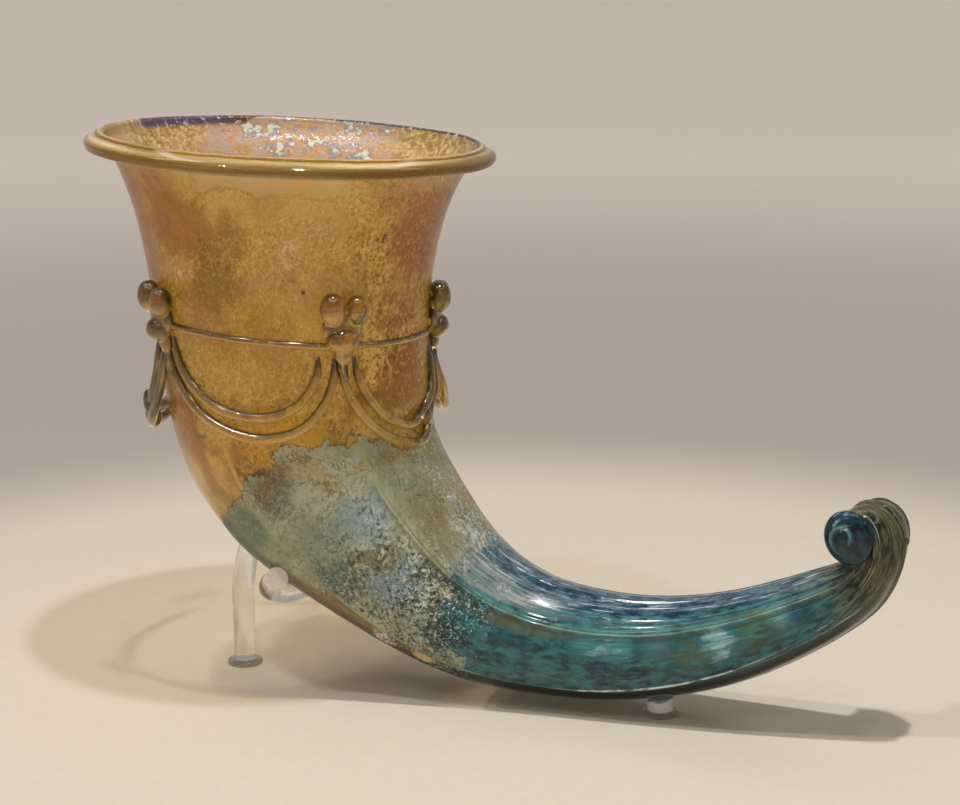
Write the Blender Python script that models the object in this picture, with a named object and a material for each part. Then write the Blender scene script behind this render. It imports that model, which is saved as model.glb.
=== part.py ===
"""A blown glass drinking horn in the late Roman manner, resting on two clear rods.

The horn is one hollow piece of glass: a flared mouth with a folded lip, a belt thread, hanging
double trails between pinched knobs, raised ribs, and a tail rolled up into a scroll. A bent rod
on a round foot cradles its belly, and a short peg on a round foot carries its tail.

All sizes are in millimetres until a mesh is made. The horn bends in the plane y = 0, its mouth
is at -X, its tail at +X, and its feet stand on z = 0.
"""

import math

import bmesh
import bpy
import numpy as np

MM = 0.001
GAP = 0.3

# Where the middle of the mouth is, with the middle of the whole part at x = 0.
MOUTH_X = -74.1
MOUTH_Z = 193.0

# The horn's middle line: distance along it, and its heading there in degrees above level.
HEADINGS = (
    (0, -93), (60, -87.5), (95, -75.5), (130, -47), (170, -37), (215, -9.3), (260, 9.1),
    (300, 24.5), (332, 36), (347, 60), (360, 109), (371, 195), (382, 280), (390, 330),
)
# Its girth: distance along, half thickness in the plane of the bend, half width across it.
GIRTH = (
    (0, 65.8, 65.8), (6, 61.6, 61.6), (13, 58.3, 58.3), (24, 54.6, 54.6), (42, 51.0, 51.0),
    (60, 49.1, 49.1), (80, 48.1, 48.1), (100, 46.9, 46.9), (120, 42.7, 42.7), (140, 36.9, 36.9),
    (160, 32.0, 32.0), (180, 27.5, 27.5), (200, 23.8, 23.8), (220, 20.9, 20.9),
    (240, 19.1, 19.1), (260, 17.6, 17.6), (280, 16.2, 16.2), (300, 14.4, 14.4),
    (320, 12.2, 12.2), (336, 9.4, 10.0), (348, 6.0, 9.6), (360, 4.0, 10.4), (371, 2.8, 11.0),
    (382, 1.6, 10.8), (390, 0.8, 9.6),
)
# The scroll's axle is turned from the horn's plane by this much, between these distances.
SCROLL_YAW = math.radians(21)
YAW_FROM = 322
YAW_TO = 362

# The wall gets thicker towards the tail, which is solid past the hollow's end.
WALL_AT_MOUTH = 2.3
WALL_AT_TAIL = 4.2
HOLLOW_START = 3.0
HOLLOW_END = 318.0
LAST_RING = 385.0

# The folded lip: an outer roll and an inner crest, as radius and height over the mouth's plane.
ROLL_RADIUS, ROLL_HEIGHT, ROLL_TUBE = 70.2, -0.5, 2.0
CREST_RADIUS, CREST_HEIGHT, CREST_TUBE = 66.7, 2.1, 1.7

# Ribs: the height of each, and its way down the horn as distance along and angle round.
# Angles run round the horn from 0 at the front, 90 on the hollow of the bend, -90 under it.
RIBS = (
    (0.9, ((88, -12), (125, -16), (160, -29), (240, -35), (295, -28), (325, -19), (343, 0))),
    (1.3, ((112, 46), (160, 38), (240, 31), (300, 32), (343, 30))),
    (0.8, ((190, 84), (260, 78), (343, 74))),
    (0.8, ((150, 126), (240, 122), (343, 112))),
    (0.8, ((120, 172), (240, 166), (343, 150))),
    (0.8, ((150, 222), (240, 214), (343, 205))),
    (0.8, ((180, 274), (240, 270), (343, 264))),
)
RIB_HALF_WIDTH = 1.5
RIB_GROWS_OVER = 45
EVEN_UNTIL, RIBBED_FROM = 60, 130
SIDES = 32

# Trails laid on the body, with their half thickness and how far their middle stands off the wall.
BELT_HEIGHT = 132.8
BELT_SLOPE = math.radians(4.8)
BELT_HALF, BELT_LIFT = 1.2, 0.2
SWAG_HALF, SWAG_LIFT = 1.8, 0.5
TRAIL_SIDES = 5
# Each knob's angle round the horn, and how far its lobes rise above the belt.
KNOBS = ((-37, 8.6), (44.3, 13.4), (110, 11.2), (171, 11.0), (233, 11.0))
# Each swag from a knob to the next: how far its inner trail hangs below the belt, how far its
# middle stands off the wall, and by how many degrees its start is moved.
SWAGS = ((27.0, 0.0, -4), (30.5, 1.2, -5), (32.0, 8.0, 0), (28.0, 1.5, 0), (36.0, 8.0, 0))
SWAG_START = 4.0
TRAIL_SPACING = 6.9
INNER_END_OFFSET, OUTER_END_OFFSET = 8.6, 3.0
# A knob is two lobes over a pad that thins into a tail: half width, height and depth of each.
# Each sinks into the wall by less than its thickness.
LOBE_SIZE, LOBE_SIDE, LOBE_LIFT = (4.5, 5.4, 4.2), 3.4, 2.3
PAD_SIZE, PAD_BELOW_LOBES, PAD_LIFT = (5.9, 7.0, 3.6), 10.2, 1.7
TAIL_SIZE, TAIL_BELOW_LOBES, TAIL_LIFT = (2.1, 6.5, 2.2), 21.0, 0.5

# The scroll's solid middle: where it is from a station of the middle line, its half length and
# radius, and its end discs and buttons.
SCROLL_AT, SCROLL_INWARD, SCROLL_ONWARD = 360, 8.7, 0.9
SCROLL_HALF = 12.0
SCROLL_CORE = 8.2
DISC_RADIUS, DISC_EDGE = 9.2, 1.6
BUTTON_RADIUS, BUTTON_HEIGHT = 3.3, 1.7
SCROLL_SIDES = 18

# The stand: clear rods, their round feet, and where each stands.
ROD_HALF = 4.0
ROD_SIDES = 10
FOOT_HALF, FOOT_THICK = 6.5, 1.6
CRADLE_X, CRADLE_Y = -96.0, -3.0
CRADLE_POST_TOP = 31.0
ROD_LIFT = ROD_HALF + GAP
# The cradle's way round the belly: distance along the horn, angle round it, extra lift.
CRADLE_WAY = (
    (121, -101, 0.7), (122, -116, 0.4), (129, -130, 0.3), (138, -124, 0.2), (141, -104, 0.2),
    (140, -82, 0.4), (137, -62, 1.2), (136, -50, 1.2), (136.5, -37, 0.4),
)
PEG_X, PEG_Y, PEG_HALF = 63.8, -1.5, 4.6
PEG_FRONT_TOP = 5.4
PEG_SLOPE = math.radians(24)


def smooth_curve(table, column, at):
    """One column of a table of stations, read between them along a smooth curve."""
    xs = np.array([row[0] for row in table], float)
    ys = np.array([row[column] for row in table], float)
    slopes = np.empty_like(ys)
    slopes[1:-1] = (ys[2:] - ys[:-2]) / (xs[2:] - xs[:-2])
    slopes[0] = (ys[1] - ys[0]) / (xs[1] - xs[0])
    slopes[-1] = (ys[-1] - ys[-2]) / (xs[-1] - xs[-2])
    i = np.clip(np.searchsorted(xs, at, side="right") - 1, 0, len(xs) - 2)
    step = xs[i + 1] - xs[i]
    t = (at - xs[i]) / step
    start = (2 * t**3 - 3 * t**2 + 1) * ys[i] + (t**3 - 2 * t**2 + t) * step * slopes[i]
    end = (3 * t**2 - 2 * t**3) * ys[i + 1] + (t**3 - t**2) * step * slopes[i + 1]
    return start + end


def smooth_step(at, low, high):
    t = np.clip((at - low) / (high - low), 0.0, 1.0)
    return t * t * (3 - 2 * t)


class Spine:
    """The horn's middle line in space, with the directions across and into its bend."""

    STEP = 0.5

    def __init__(self):
        self.along = np.arange(0.0, LAST_RING + self.STEP, self.STEP)
        heading = np.radians(smooth_curve(HEADINGS, 1, self.along))
        yaw = SCROLL_YAW * smooth_step(self.along, YAW_FROM, YAW_TO)
        forward = np.stack([np.cos(yaw), -np.sin(yaw), 0 * yaw], -1)
        up = np.array([0.0, 0.0, 1.0])
        cos_h, sin_h = np.cos(heading)[:, None], np.sin(heading)[:, None]
        self.tangent = forward * cos_h + up * sin_h
        self.inward = up * cos_h - forward * sin_h
        self.side = np.stack([np.sin(yaw), np.cos(yaw), 0 * yaw], -1)
        moves = (self.tangent[1:] + self.tangent[:-1]) / 2 * self.STEP
        start = np.array([[MOUTH_X, 0.0, MOUTH_Z]])
        self.centre = np.concatenate([start, start + np.cumsum(moves, axis=0)])

    def at(self, along):
        """Centre, tangent, inward and side at a distance; below 0 it runs straight on."""
        rows = []
        for values in (self.centre, self.tangent, self.inward, self.side):
            rows.append(np.array([np.interp(along, self.along, values[:, k]) for k in range(3)]))
        centre, tangent, inward, side = rows
        if along < 0:
            centre = centre + tangent * along
        return centre, tangent, inward, side


SPINE = Spine()


def half_sizes(along):
    return float(smooth_curve(GIRTH, 1, along)), float(smooth_curve(GIRTH, 2, along))


def horn_point(along, around, lift=0.0):
    """A point on the horn's outer skin, or lifted off it, and the way out of the skin there."""
    centre, _, inward, side = SPINE.at(along)
    thick, wide = half_sizes(along)
    turn = math.radians(around)
    out = inward * math.sin(turn) - side * math.cos(turn)
    skin = inward * math.sin(turn) * thick - side * math.cos(turn) * wide
    return centre + skin + out * lift, out


def skin_at_height(around, height):
    """How far along the horn its skin, at an angle round it, comes down to a height."""
    low, high = 5.0, 170.0
    for _ in range(30):
        middle = (low + high) / 2
        if horn_point(middle, around)[0][2] > height:
            low = middle
        else:
            high = middle
    return (low + high) / 2


def rib_start(rib):
    return rib[1][0][0]


def rib_angle(rib, along):
    way = rib[1]
    return float(smooth_curve(way, 1, np.clip(along, way[0][0], way[-1][0])))


def rib_height(rib, along):
    return rib[0] * smooth_step(along, rib_start(rib), rib_start(rib) + RIB_GROWS_OVER)


def rib_gaps(along):
    """The angle from each rib to the next one round the horn."""
    crests = [rib_angle(rib, along) for rib in RIBS]
    return [(b - a) % 360 for a, b in zip(crests, crests[1:] + crests[:1])]


def share_points():
    """How many plain points go between each rib and the next, in proportion to the gaps."""
    gaps = rib_gaps(RIBS[0][1][3][0])
    spare = SIDES - 3 * len(RIBS)
    fills = [int(spare * gap / 360) for gap in gaps]
    while sum(fills) < spare:
        widest = max(range(len(RIBS)), key=lambda i: gaps[i] / (fills[i] + 1))
        fills[widest] += 1
    return fills


FILLS = share_points()


def ring_angles(along):
    """The angles of one ring's points: evenly spaced at the mouth, and further down a foot,
    crest and foot at each rib with even steps between the ribs."""
    radius = max(half_sizes(max(along, 0.0)))
    half = math.degrees(RIB_HALF_WIDTH / min(max(radius, 9.0), 30.0))
    crest = rib_angle(RIBS[0], along)
    even = [crest - half + 360 * k / SIDES for k in range(SIDES)]
    ribbed = []
    for gap, fill in zip(rib_gaps(along), FILLS):
        ribbed += [crest - half, crest]
        ribbed += [crest + half + (gap - 2 * half) * k / (fill + 1) for k in range(fill + 1)]
        crest += gap
    share = smooth_step(along, EVEN_UNTIL, RIBBED_FROM)
    return [plain + (with_rib - plain) * share for plain, with_rib in zip(even, ribbed)]


def outer_ring(along):
    lifts = []
    for rib, fill in zip(RIBS, FILLS):
        lifts += [0.0, rib_height(rib, along)] + [0.0] * (fill + 1)
    return [horn_point(along, a, lift)[0] for a, lift in zip(ring_angles(along), lifts)]


def round_ring(along, radius):
    """A ring at a free radius, square to the middle line, for the lip and the hollow."""
    centre, _, inward, side = SPINE.at(along)
    turns = [math.radians(angle) for angle in ring_angles(along)]
    return [centre + radius * (inward * math.sin(t) - side * math.cos(t)) for t in turns]


def arc(radius, height, tube, first, last, count):
    """Points (radius, height) along an arc of a lip roll, by angles in degrees."""
    turns = np.radians(np.linspace(first, last, count))
    return [(radius + tube * math.cos(t), height + tube * math.sin(t)) for t in turns]


def hollow_radius(along):
    share = along / HOLLOW_END
    wall = WALL_AT_MOUTH + (WALL_AT_TAIL - WALL_AT_MOUTH) * share**2
    return min(half_sizes(along)) - wall


def horn_rings():
    """All rings of the closed body: up the hollow from its end, over the lip, down outside."""
    rings = []
    end_radius = hollow_radius(HOLLOW_END - 4)
    for share in (0.35, 0.8):
        along = HOLLOW_END + end_radius * 0.6 * (math.sqrt(1 - share**2) - 1) + 2
        rings.append(round_ring(along, end_radius * share))
    for along in (HOLLOW_END - 4, *range(300, 190, -26), *range(176, 60, -15), 48, 30, 16, 8):
        rings.append(round_ring(along, hollow_radius(along)))
    rings.append(round_ring(HOLLOW_START, hollow_radius(HOLLOW_START)))
    lip = arc(CREST_RADIUS, CREST_HEIGHT, CREST_TUBE, 185, 35, 4)
    lip += arc(ROLL_RADIUS, ROLL_HEIGHT, ROLL_TUBE, 75, -115, 5)
    for radius, height in lip:
        rings.append(round_ring(-height, radius))
    outside = (4.5, 9, 16, 26, 40, *range(54, 90, 12), *range(93, 190, 10), *range(196, 320, 15))
    for along in (*outside, 328, 336, 343, 349, 355, 360, 365, 370, 375, 380, LAST_RING):
        rings.append(outer_ring(along))
    return rings


def new_object(name, bm, material, sharp=40):
    mesh = bpy.data.meshes.new(name)
    bm.to_mesh(mesh)
    bm.free()
    item = bpy.data.objects.new(name, mesh)
    bpy.context.scene.collection.objects.link(item)
    if material:
        mesh.materials.append(material)
    mesh.shade_smooth()
    mesh.set_sharp_from_angle(angle=math.radians(sharp))
    return item


def loft(rings, closed=False):
    """A body through rings of equal count, with a fan at each end unless it closes on itself."""
    bm = bmesh.new()
    rows = [[bm.verts.new([c * MM for c in point]) for point in ring] for ring in rings]
    count = len(rows[0])
    pairs = list(zip(rows, rows[1:] + rows[:1])) if closed else list(zip(rows, rows[1:]))
    for low, high in pairs:
        for i in range(count):
            j = (i + 1) % count
            bm.faces.new((low[i], low[j], high[j], high[i]))
    if not closed:
        for ring, row, flip in ((rings[0], rows[0], True), (rings[-1], rows[-1], False)):
            middle = bm.verts.new(np.mean(ring, axis=0) * MM)
            for i in range(count):
                j = (i + 1) % count
                face = (row[j], row[i], middle) if flip else (row[i], row[j], middle)
                bm.faces.new(face)
    bmesh.ops.recalc_face_normals(bm, faces=bm.faces)
    return bm


def tube(points, normals, halves, sides, closed=False):
    """A round bar along points, with a normal and a half thickness at each."""
    rings = []
    count = len(points)
    for i in range(count):
        before = points[i - 1] if closed or i else points[i]
        after = points[(i + 1) % count] if closed or i < count - 1 else points[i]
        along = (after - before) / np.linalg.norm(after - before)
        across = np.cross(along, normals[i])
        across = across / np.linalg.norm(across)
        out = np.cross(across, along)
        turns = [2 * math.pi * (k + 0.5) / sides for k in range(sides)]
        ring = [points[i] + halves[i] * (out * math.cos(t) + across * math.sin(t)) for t in turns]
        rings.append(ring)
    return loft(rings, closed)


def blob(centre, axes, sizes, rings=4, sides=8):
    """A closed egg shape: its half sizes along three axes, the second one from end to end."""
    across, up, out = axes
    rows = []
    for i in range(rings):
        polar = math.pi * (i + 1) / (rings + 1)
        row = []
        for k in range(sides):
            turn = 2 * math.pi * k / sides
            flat = math.sin(polar)
            point = centre + up * sizes[1] * math.cos(polar)
            point = point + across * sizes[0] * flat * math.cos(turn)
            row.append(point + out * sizes[2] * flat * math.sin(turn))
        rows.append(row)
    return loft(rows)


def belt_along(around, drop=0.0):
    """How far along the horn its belt runs at an angle round it, or a line hung below it."""
    x = MOUTH_X + half_sizes(58)[0] * math.sin(math.radians(around))
    return skin_at_height(around, BELT_HEIGHT - (x - MOUTH_X) * math.tan(BELT_SLOPE) - drop)


def belt_trail():
    points, normals = [], []
    count = 30
    for k in range(count):
        around = 360 * k / count
        point, out = horn_point(belt_along(around), around, BELT_LIFT)
        points.append(point)
        normals.append(out)
    return tube(points, normals, [BELT_HALF] * count, TRAIL_SIDES, closed=True)


def swag_trail(first, last, drop, stand_off, end_offset):
    """One hanging trail between two knobs, a half ellipse on the skin, free in its middle."""
    points, normals, halves = [], [], []
    count = 12
    radius = half_sizes(62)[0]
    half_span = (last - first) / 2 - math.degrees(end_offset / radius)
    middle = (first + last) / 2
    for k in range(count):
        turn = math.pi * k / (count - 1)
        around = middle - half_span * math.cos(turn)
        hang = SWAG_START + (drop - SWAG_START) * math.sin(turn)
        lift = SWAG_LIFT + stand_off * math.sin(turn) ** 2
        point, out = horn_point(belt_along(around, hang), around, lift)
        points.append(point)
        normals.append(out)
        halves.append(SWAG_HALF * (0.8 + 0.2 * math.sin(turn)))
    return tube(points, normals, halves, TRAIL_SIDES)


def swag_trails():
    """The inner and outer trail of every swag."""
    trails = []
    for i, (drop, stand_off, shift) in enumerate(SWAGS):
        first, last = KNOBS[i][0] + shift, KNOBS[(i + 1) % len(KNOBS)][0]
        last = last if last > first else last + 360
        trails.append(swag_trail(first, last, drop, stand_off, INNER_END_OFFSET))
        trails.append(swag_trail(first, last, drop + TRAIL_SPACING, stand_off, OUTER_END_OFFSET))
    return trails


def skin_blob(around, drop, lift, sizes, rings=4, sides=8):
    """An egg shape laid on the skin, lengthwise down the horn, by its drop below the belt."""
    along = belt_along(around, drop)
    centre, out = horn_point(along, around, lift)
    down = horn_point(along + 1, around)[0] - horn_point(along - 1, around)[0]
    down = down / np.linalg.norm(down)
    across = np.cross(out, down)
    across = across / np.linalg.norm(across)
    return blob(centre, (across, down, np.cross(down, across)), sizes, rings, sides)


def knob_blobs(around, lobe_rise):
    """Two lobes side by side, a pad and a thin tail, one below the other."""
    spread = math.degrees(LOBE_SIDE / half_sizes(62)[0])
    pad_drop = PAD_BELOW_LOBES - lobe_rise
    tail_drop = TAIL_BELOW_LOBES - lobe_rise
    return [
        skin_blob(around - spread, -lobe_rise, LOBE_LIFT, LOBE_SIZE),
        skin_blob(around + spread, -lobe_rise, LOBE_LIFT, LOBE_SIZE),
        skin_blob(around, pad_drop, PAD_LIFT, PAD_SIZE),
        skin_blob(around, tail_drop, TAIL_LIFT, TAIL_SIZE, 3, 6),
    ]


def scroll_core():
    """The solid middle of the scroll: a short turned bar with a disc and a button at each end."""
    start, onward, inward, side = SPINE.at(SCROLL_AT)
    centre = start + inward * SCROLL_INWARD + onward * SCROLL_ONWARD
    across = np.array([0.0, 0.0, 1.0])
    fore = np.cross(side, across)
    half = SCROLL_HALF
    profile = [
        (half + BUTTON_HEIGHT, BUTTON_RADIUS * 0.55),
        (half + BUTTON_HEIGHT * 0.75, BUTTON_RADIUS),
        (half, BUTTON_RADIUS * 1.25),
        (half + 0.2, DISC_RADIUS - 2.2),
        (half - 0.6, DISC_RADIUS),
        (half - DISC_EDGE - 1.2, DISC_RADIUS),
        (half - DISC_EDGE - 3.5, SCROLL_CORE),
    ]
    profile += [(-place, radius) for place, radius in reversed(profile)]
    rings = []
    for place, radius in profile:
        turns = [2 * math.pi * k / SCROLL_SIDES for k in range(SCROLL_SIDES)]
        ring = [centre + side * place + radius * (fore * math.cos(t) + across * math.sin(t))
                for t in turns]
        rings.append(ring)
    return loft(rings)


def drop_pockets(mesh):
    """Keep a mesh's largest shell: a tiny sealed pocket can be left where three shapes meet."""
    bm = bmesh.new()
    bm.from_mesh(mesh)
    waiting = set(bm.verts)
    shells = []
    while waiting:
        shell = [waiting.pop()]
        for vert in shell:
            for edge in vert.link_edges:
                other = edge.other_vert(vert)
                if other in waiting:
                    waiting.remove(other)
                    shell.append(other)
        shells.append(shell)
    shells.sort(key=len)
    for shell in shells[:-1]:
        bmesh.ops.delete(bm, geom=shell, context="VERTS")
    bm.to_mesh(mesh)
    bm.free()


def boolean(item, operation, tools):
    """Fuse or cut an object with all its tool bodies in one step, then drop the tools."""
    group = bpy.data.collections.new("tools")
    for tool in tools:
        tool.hide_render = True
        tool.display_type = "WIRE"
        group.objects.link(tool)
    step = item.modifiers.new(operation.lower(), "BOOLEAN")
    step.operation = operation
    step.solver = "EXACT"
    step.operand_type = "COLLECTION"
    step.collection = group
    graph = bpy.context.evaluated_depsgraph_get()
    mesh = bpy.data.meshes.new_from_object(item.evaluated_get(graph))
    drop_pockets(mesh)
    item.modifiers.clear()
    item.data = mesh
    item.data.name = item.name
    for tool in tools:
        bpy.data.objects.remove(tool)
    bpy.data.collections.remove(group)


def principled(name, colour, roughness, transmission):
    material = bpy.data.materials.new(name)
    material.use_nodes = True
    shader = material.node_tree.nodes["Principled BSDF"]
    shader.inputs["Base Color"].default_value = (*colour, 1.0)
    shader.inputs["Roughness"].default_value = roughness
    shader.inputs["Metallic"].default_value = 0.0
    shader.inputs["IOR"].default_value = 1.5
    shader.inputs["Transmission Weight"].default_value = transmission
    return material


def make_horn(material):
    horn = new_object("horn", loft(horn_rings()), material)
    shapes = [belt_trail(), *swag_trails(), scroll_core()]
    for around, lobe_rise in KNOBS:
        shapes += knob_blobs(around, lobe_rise)
    boolean(horn, "UNION", [new_object("add", shape, None) for shape in shapes])
    horn.data.shade_smooth()
    horn.data.set_sharp_from_angle(angle=math.radians(40))


def route(points, spacing=5.4):
    """Evenly spaced points along a smooth curve through the given ones."""
    points = [np.array(point, float) for point in points]
    lengths = [0.0]
    for a, b in zip(points, points[1:]):
        lengths.append(lengths[-1] + float(np.linalg.norm(b - a)))
    table = [(length, *point) for length, point in zip(lengths, points)]
    count = int(lengths[-1] / spacing) + 1
    places = np.linspace(0.0, lengths[-1], count)
    return np.stack([smooth_curve(table, k, places) for k in (1, 2, 3)], -1)


def rod_body(points):
    """A round bar along a route, its rings turned as little as possible from one to the next."""
    normals = []
    normal = np.array([0.0, -1.0, 0.0])
    for i in range(len(points)):
        ahead = points[min(i + 1, len(points) - 1)] - points[max(i - 1, 0)]
        ahead = ahead / np.linalg.norm(ahead)
        normal = normal - ahead * float(np.dot(normal, ahead))
        normal = normal / np.linalg.norm(normal)
        normals.append(normal)
    return tube(list(points), normals, [ROD_HALF] * len(points), ROD_SIDES)


def cradle_way():
    """Points up the post, then round the belly just clear of the skin."""
    bottom = FOOT_THICK + GAP
    way = [(CRADLE_X, CRADLE_Y, bottom + k * (CRADLE_POST_TOP - bottom) / 3) for k in range(4)]
    for along, around, extra in CRADLE_WAY:
        way.append(tuple(horn_point(along, around, ROD_LIFT + extra)[0]))
    return way


def make_foot(name, x, y, half, material):
    bevel = 0.3
    rings = []
    for radius, height in ((half, 0), (half, FOOT_THICK - bevel), (half - bevel, FOOT_THICK)):
        turns = [2 * math.pi * k / 24 for k in range(24)]
        rings.append([np.array([x + radius * math.cos(t), y + radius * math.sin(t), height])
                      for t in turns])
    new_object(name, loft(rings), material, sharp=30)


def make_peg(material):
    """The tail's peg: its top slopes to the front and is hollowed to fit under the horn."""
    bottom = FOOT_THICK + GAP
    rings = []
    for share in (0, 1):
        ring = []
        for k in range(24):
            turn = 2 * math.pi * k / 24
            x = PEG_X + PEG_HALF * math.cos(turn)
            y = PEG_Y + PEG_HALF * math.sin(turn)
            top = PEG_FRONT_TOP + (y - PEG_Y + PEG_HALF) * math.tan(PEG_SLOPE)
            ring.append(np.array([x, y, top if share else bottom]))
        rings.append(ring)
    peg = new_object("tail_peg", loft(rings), material)
    cutter_rings = []
    for along in range(224, 276, 6):
        centre, _, inward, side = SPINE.at(along)
        radius = half_sizes(along)[0] + rib_height(RIBS[-1], along) + GAP
        turns = [2 * math.pi * k / 48 for k in range(48)]
        cutter_rings.append([centre + radius * (inward * math.sin(t) - side * math.cos(t))
                             for t in turns])
    boolean(peg, "DIFFERENCE", [new_object("cut", loft(cutter_rings), None)])
    peg.data.shade_smooth()
    peg.data.set_sharp_from_angle(angle=math.radians(40))


def main():
    for item in list(bpy.data.objects):
        bpy.data.objects.remove(item)
    glass = principled("amber and teal glass", (0.42, 0.30, 0.12), 0.15, 0.6)
    clear = principled("clear acrylic", (0.95, 0.96, 0.95), 0.05, 1.0)
    make_horn(glass)
    new_object("cradle_rod", rod_body(route(cradle_way())), clear, sharp=50)
    make_foot("cradle_foot", CRADLE_X, CRADLE_Y, FOOT_HALF, clear)
    make_peg(clear)
    make_foot("tail_peg_foot", PEG_X, PEG_Y, FOOT_HALF - 0.4, clear)


if __name__ == "__main__":
    main()
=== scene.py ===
import math

import bmesh
import bpy
import numpy as np
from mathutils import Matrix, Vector, noise


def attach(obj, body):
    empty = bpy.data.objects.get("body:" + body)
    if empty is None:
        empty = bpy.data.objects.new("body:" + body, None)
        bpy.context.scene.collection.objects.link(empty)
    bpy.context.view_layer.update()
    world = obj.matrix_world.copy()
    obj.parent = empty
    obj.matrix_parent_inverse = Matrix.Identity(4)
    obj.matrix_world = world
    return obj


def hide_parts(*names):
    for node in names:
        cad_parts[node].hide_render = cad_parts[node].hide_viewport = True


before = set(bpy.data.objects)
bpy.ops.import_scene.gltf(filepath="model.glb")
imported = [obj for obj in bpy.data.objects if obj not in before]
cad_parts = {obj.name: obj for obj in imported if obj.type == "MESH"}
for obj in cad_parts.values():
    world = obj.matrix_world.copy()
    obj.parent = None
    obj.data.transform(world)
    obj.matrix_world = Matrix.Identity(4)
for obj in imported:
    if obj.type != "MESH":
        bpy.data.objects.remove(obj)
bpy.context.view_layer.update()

# A blown glass drinking horn on two clear rods. Shapes are worked out in millimetres, in the
# frame's own axes, and turned to metres where a mesh is made.
MM = 0.001
GAP = 0.3
TAU = 2 * math.pi

# The horn's driving sizes.
# Where the middle of the mouth is, with the middle of the whole part at x = 0.
MOUTH_X = -74.1
MOUTH_Z = 193.0
# The horn's middle line: distance along it, and its heading there in degrees above level.
HEADINGS = (
    (0, -93), (60, -87.5), (95, -75.5), (130, -47), (170, -37), (215, -9.3), (260, 9.1),
    (300, 24.5), (332, 36), (347, 60), (360, 109), (371, 195), (382, 280), (390, 330),
)
# Its radius where it is round, by the distance along.
RADII = (
    (0, 65.8), (6, 61.6), (13, 58.3), (24, 54.6), (42, 51.0), (60, 49.1), (80, 48.1),
    (100, 46.9), (120, 42.7), (140, 36.9), (160, 32.0), (180, 27.5), (200, 23.8), (220, 20.9),
    (240, 19.1), (260, 17.6), (280, 16.2), (300, 14.4), (320, 12.2),
)
# Its flatter end: distance along, half thickness in the plane of the bend, half width across it.
FLAT_END = (
    (336, 9.4, 10.0), (348, 6.0, 9.6), (360, 4.0, 10.4), (371, 2.8, 11.0), (382, 1.6, 10.8),
    (390, 0.8, 9.6),
)
GIRTH = tuple((along, radius, radius) for along, radius in RADII) + FLAT_END
# The scroll's axle is turned from the horn's plane by this much, between these distances.
SCROLL_YAW = math.radians(21)
YAW_FROM = 322
YAW_TO = 362

# The wall gets thicker towards the tail, which is solid past the hollow's end.
WALL_AT_MOUTH = 2.3
WALL_AT_TAIL = 4.2
HOLLOW_START = 3.0
HOLLOW_END = 318.0
# The hollow's rounded end: its length, and its depth and its rings' radii as shares of its
# own radius.
CAP_LENGTH, CAP_DEPTH = 4, 0.6
CAP_RINGS = (0.12, 0.3, 0.5, 0.7, 0.88)
LAST_RING = 385.0
# The rings' spacing down the hollow, and down the outside as first, last and spacing.
HOLLOW_SPACING = 4.0
OUTSIDE = (
    (3.2, 20, 1.4), (22.5, 98, 3.0), (99.5, 196, 1.6), (198, 320, 2.0), (321, LAST_RING, 0.9),
)

# The folded lip: an outer roll and an inner crest, as radius and height over the mouth's plane.
ROLL_RADIUS, ROLL_HEIGHT, ROLL_TUBE = 70.2, -0.5, 2.0
CREST_RADIUS, CREST_HEIGHT, CREST_TUBE = 66.7, 2.1, 1.7
# The part of each one's round that shows: first and last angle, and how many points.
CREST_ARC = (185, 35, 12)
ROLL_ARC = (75, -115, 15)
LIP_RISES_FROM, LIP_RISES_TO = -9, -2

# Ribs: the height of each, and its way down the horn as distance along and angle round.
# Angles run round the horn from 0 at the front, 90 on the hollow of the bend, -90 under it.
RIBS = (
    (0.9, ((88, -12), (125, -16), (160, -29), (240, -35), (295, -28), (325, -19), (343, 0))),
    (1.3, ((112, 46), (160, 38), (240, 31), (300, 32), (343, 30))),
    (0.8, ((190, 84), (260, 78), (343, 74))),
    (0.8, ((150, 126), (240, 122), (343, 112))),
    (0.8, ((120, 172), (240, 166), (343, 150))),
    (0.8, ((150, 222), (240, 214), (343, 205))),
    (0.8, ((180, 274), (240, 270), (343, 264))),
)
DOUBLE_RIB = 1
GROOVE_DEPTH, GROOVE_WIDTH = 0.55, 0.26
RIB_HALF_WIDTH = 1.5
RIB_GROWS_OVER = 45
# A rib's width as an angle is worked out for a radius between these.
RIB_RADIUS_LOW, RIB_RADIUS_HIGH = 9.0, 30.0
# The skin dips a little beside each rib: how deep for its height, and at which points.
DIP, DIP_AT, DIP_WIDTH = 0.28, 2.0, 1.4
EVEN_UNTIL, RIBBED_FROM = 60, 130
RIB_STEPS = 8
SIDES = 168
# The points between the ribs are shared out by the gaps at this distance.
SHARED_AT = 240

# Trails laid on the body, with their half thickness and how far their middle stands off the wall.
# A trail wanders up and down, and swells by a share of its thickness.
BELT_HEIGHT = 132.8
BELT_SLOPE = math.radians(4.8)
BELT_HALF, BELT_LIFT = 1.2, 0.2
BELT_WANDERS, BELT_SWELLS, BELT_WAVES = 0.5, 0.12, 4
BELT_POINTS = 200
SWAG_HALF, SWAG_LIFT = 1.8, 0.5
SWAG_WANDERS, SWAG_SWELLS, SWAG_WAVES = 0.6, 0.07, 2.2
# Each swag reads the noise elsewhere, by its first knob's angle and by its drop.
SWAG_STEP, DROP_STEP = 0.1, 0.3
SWAG_END_SINKS, SWAG_END_TAPERS = 1.0, 0.3
# How much thinner a swag is up at its ends than in its middle, and once more where it melts in.
SWAG_THINS, SWAG_TIP_THINS = 0.2, 0.4
SWAG_POINTS = 56
# About how far along the horn the belt and the knobs are.
BELT_ALONG, KNOBS_ALONG = 58, 62
TRAIL_SIDES = 12
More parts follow.
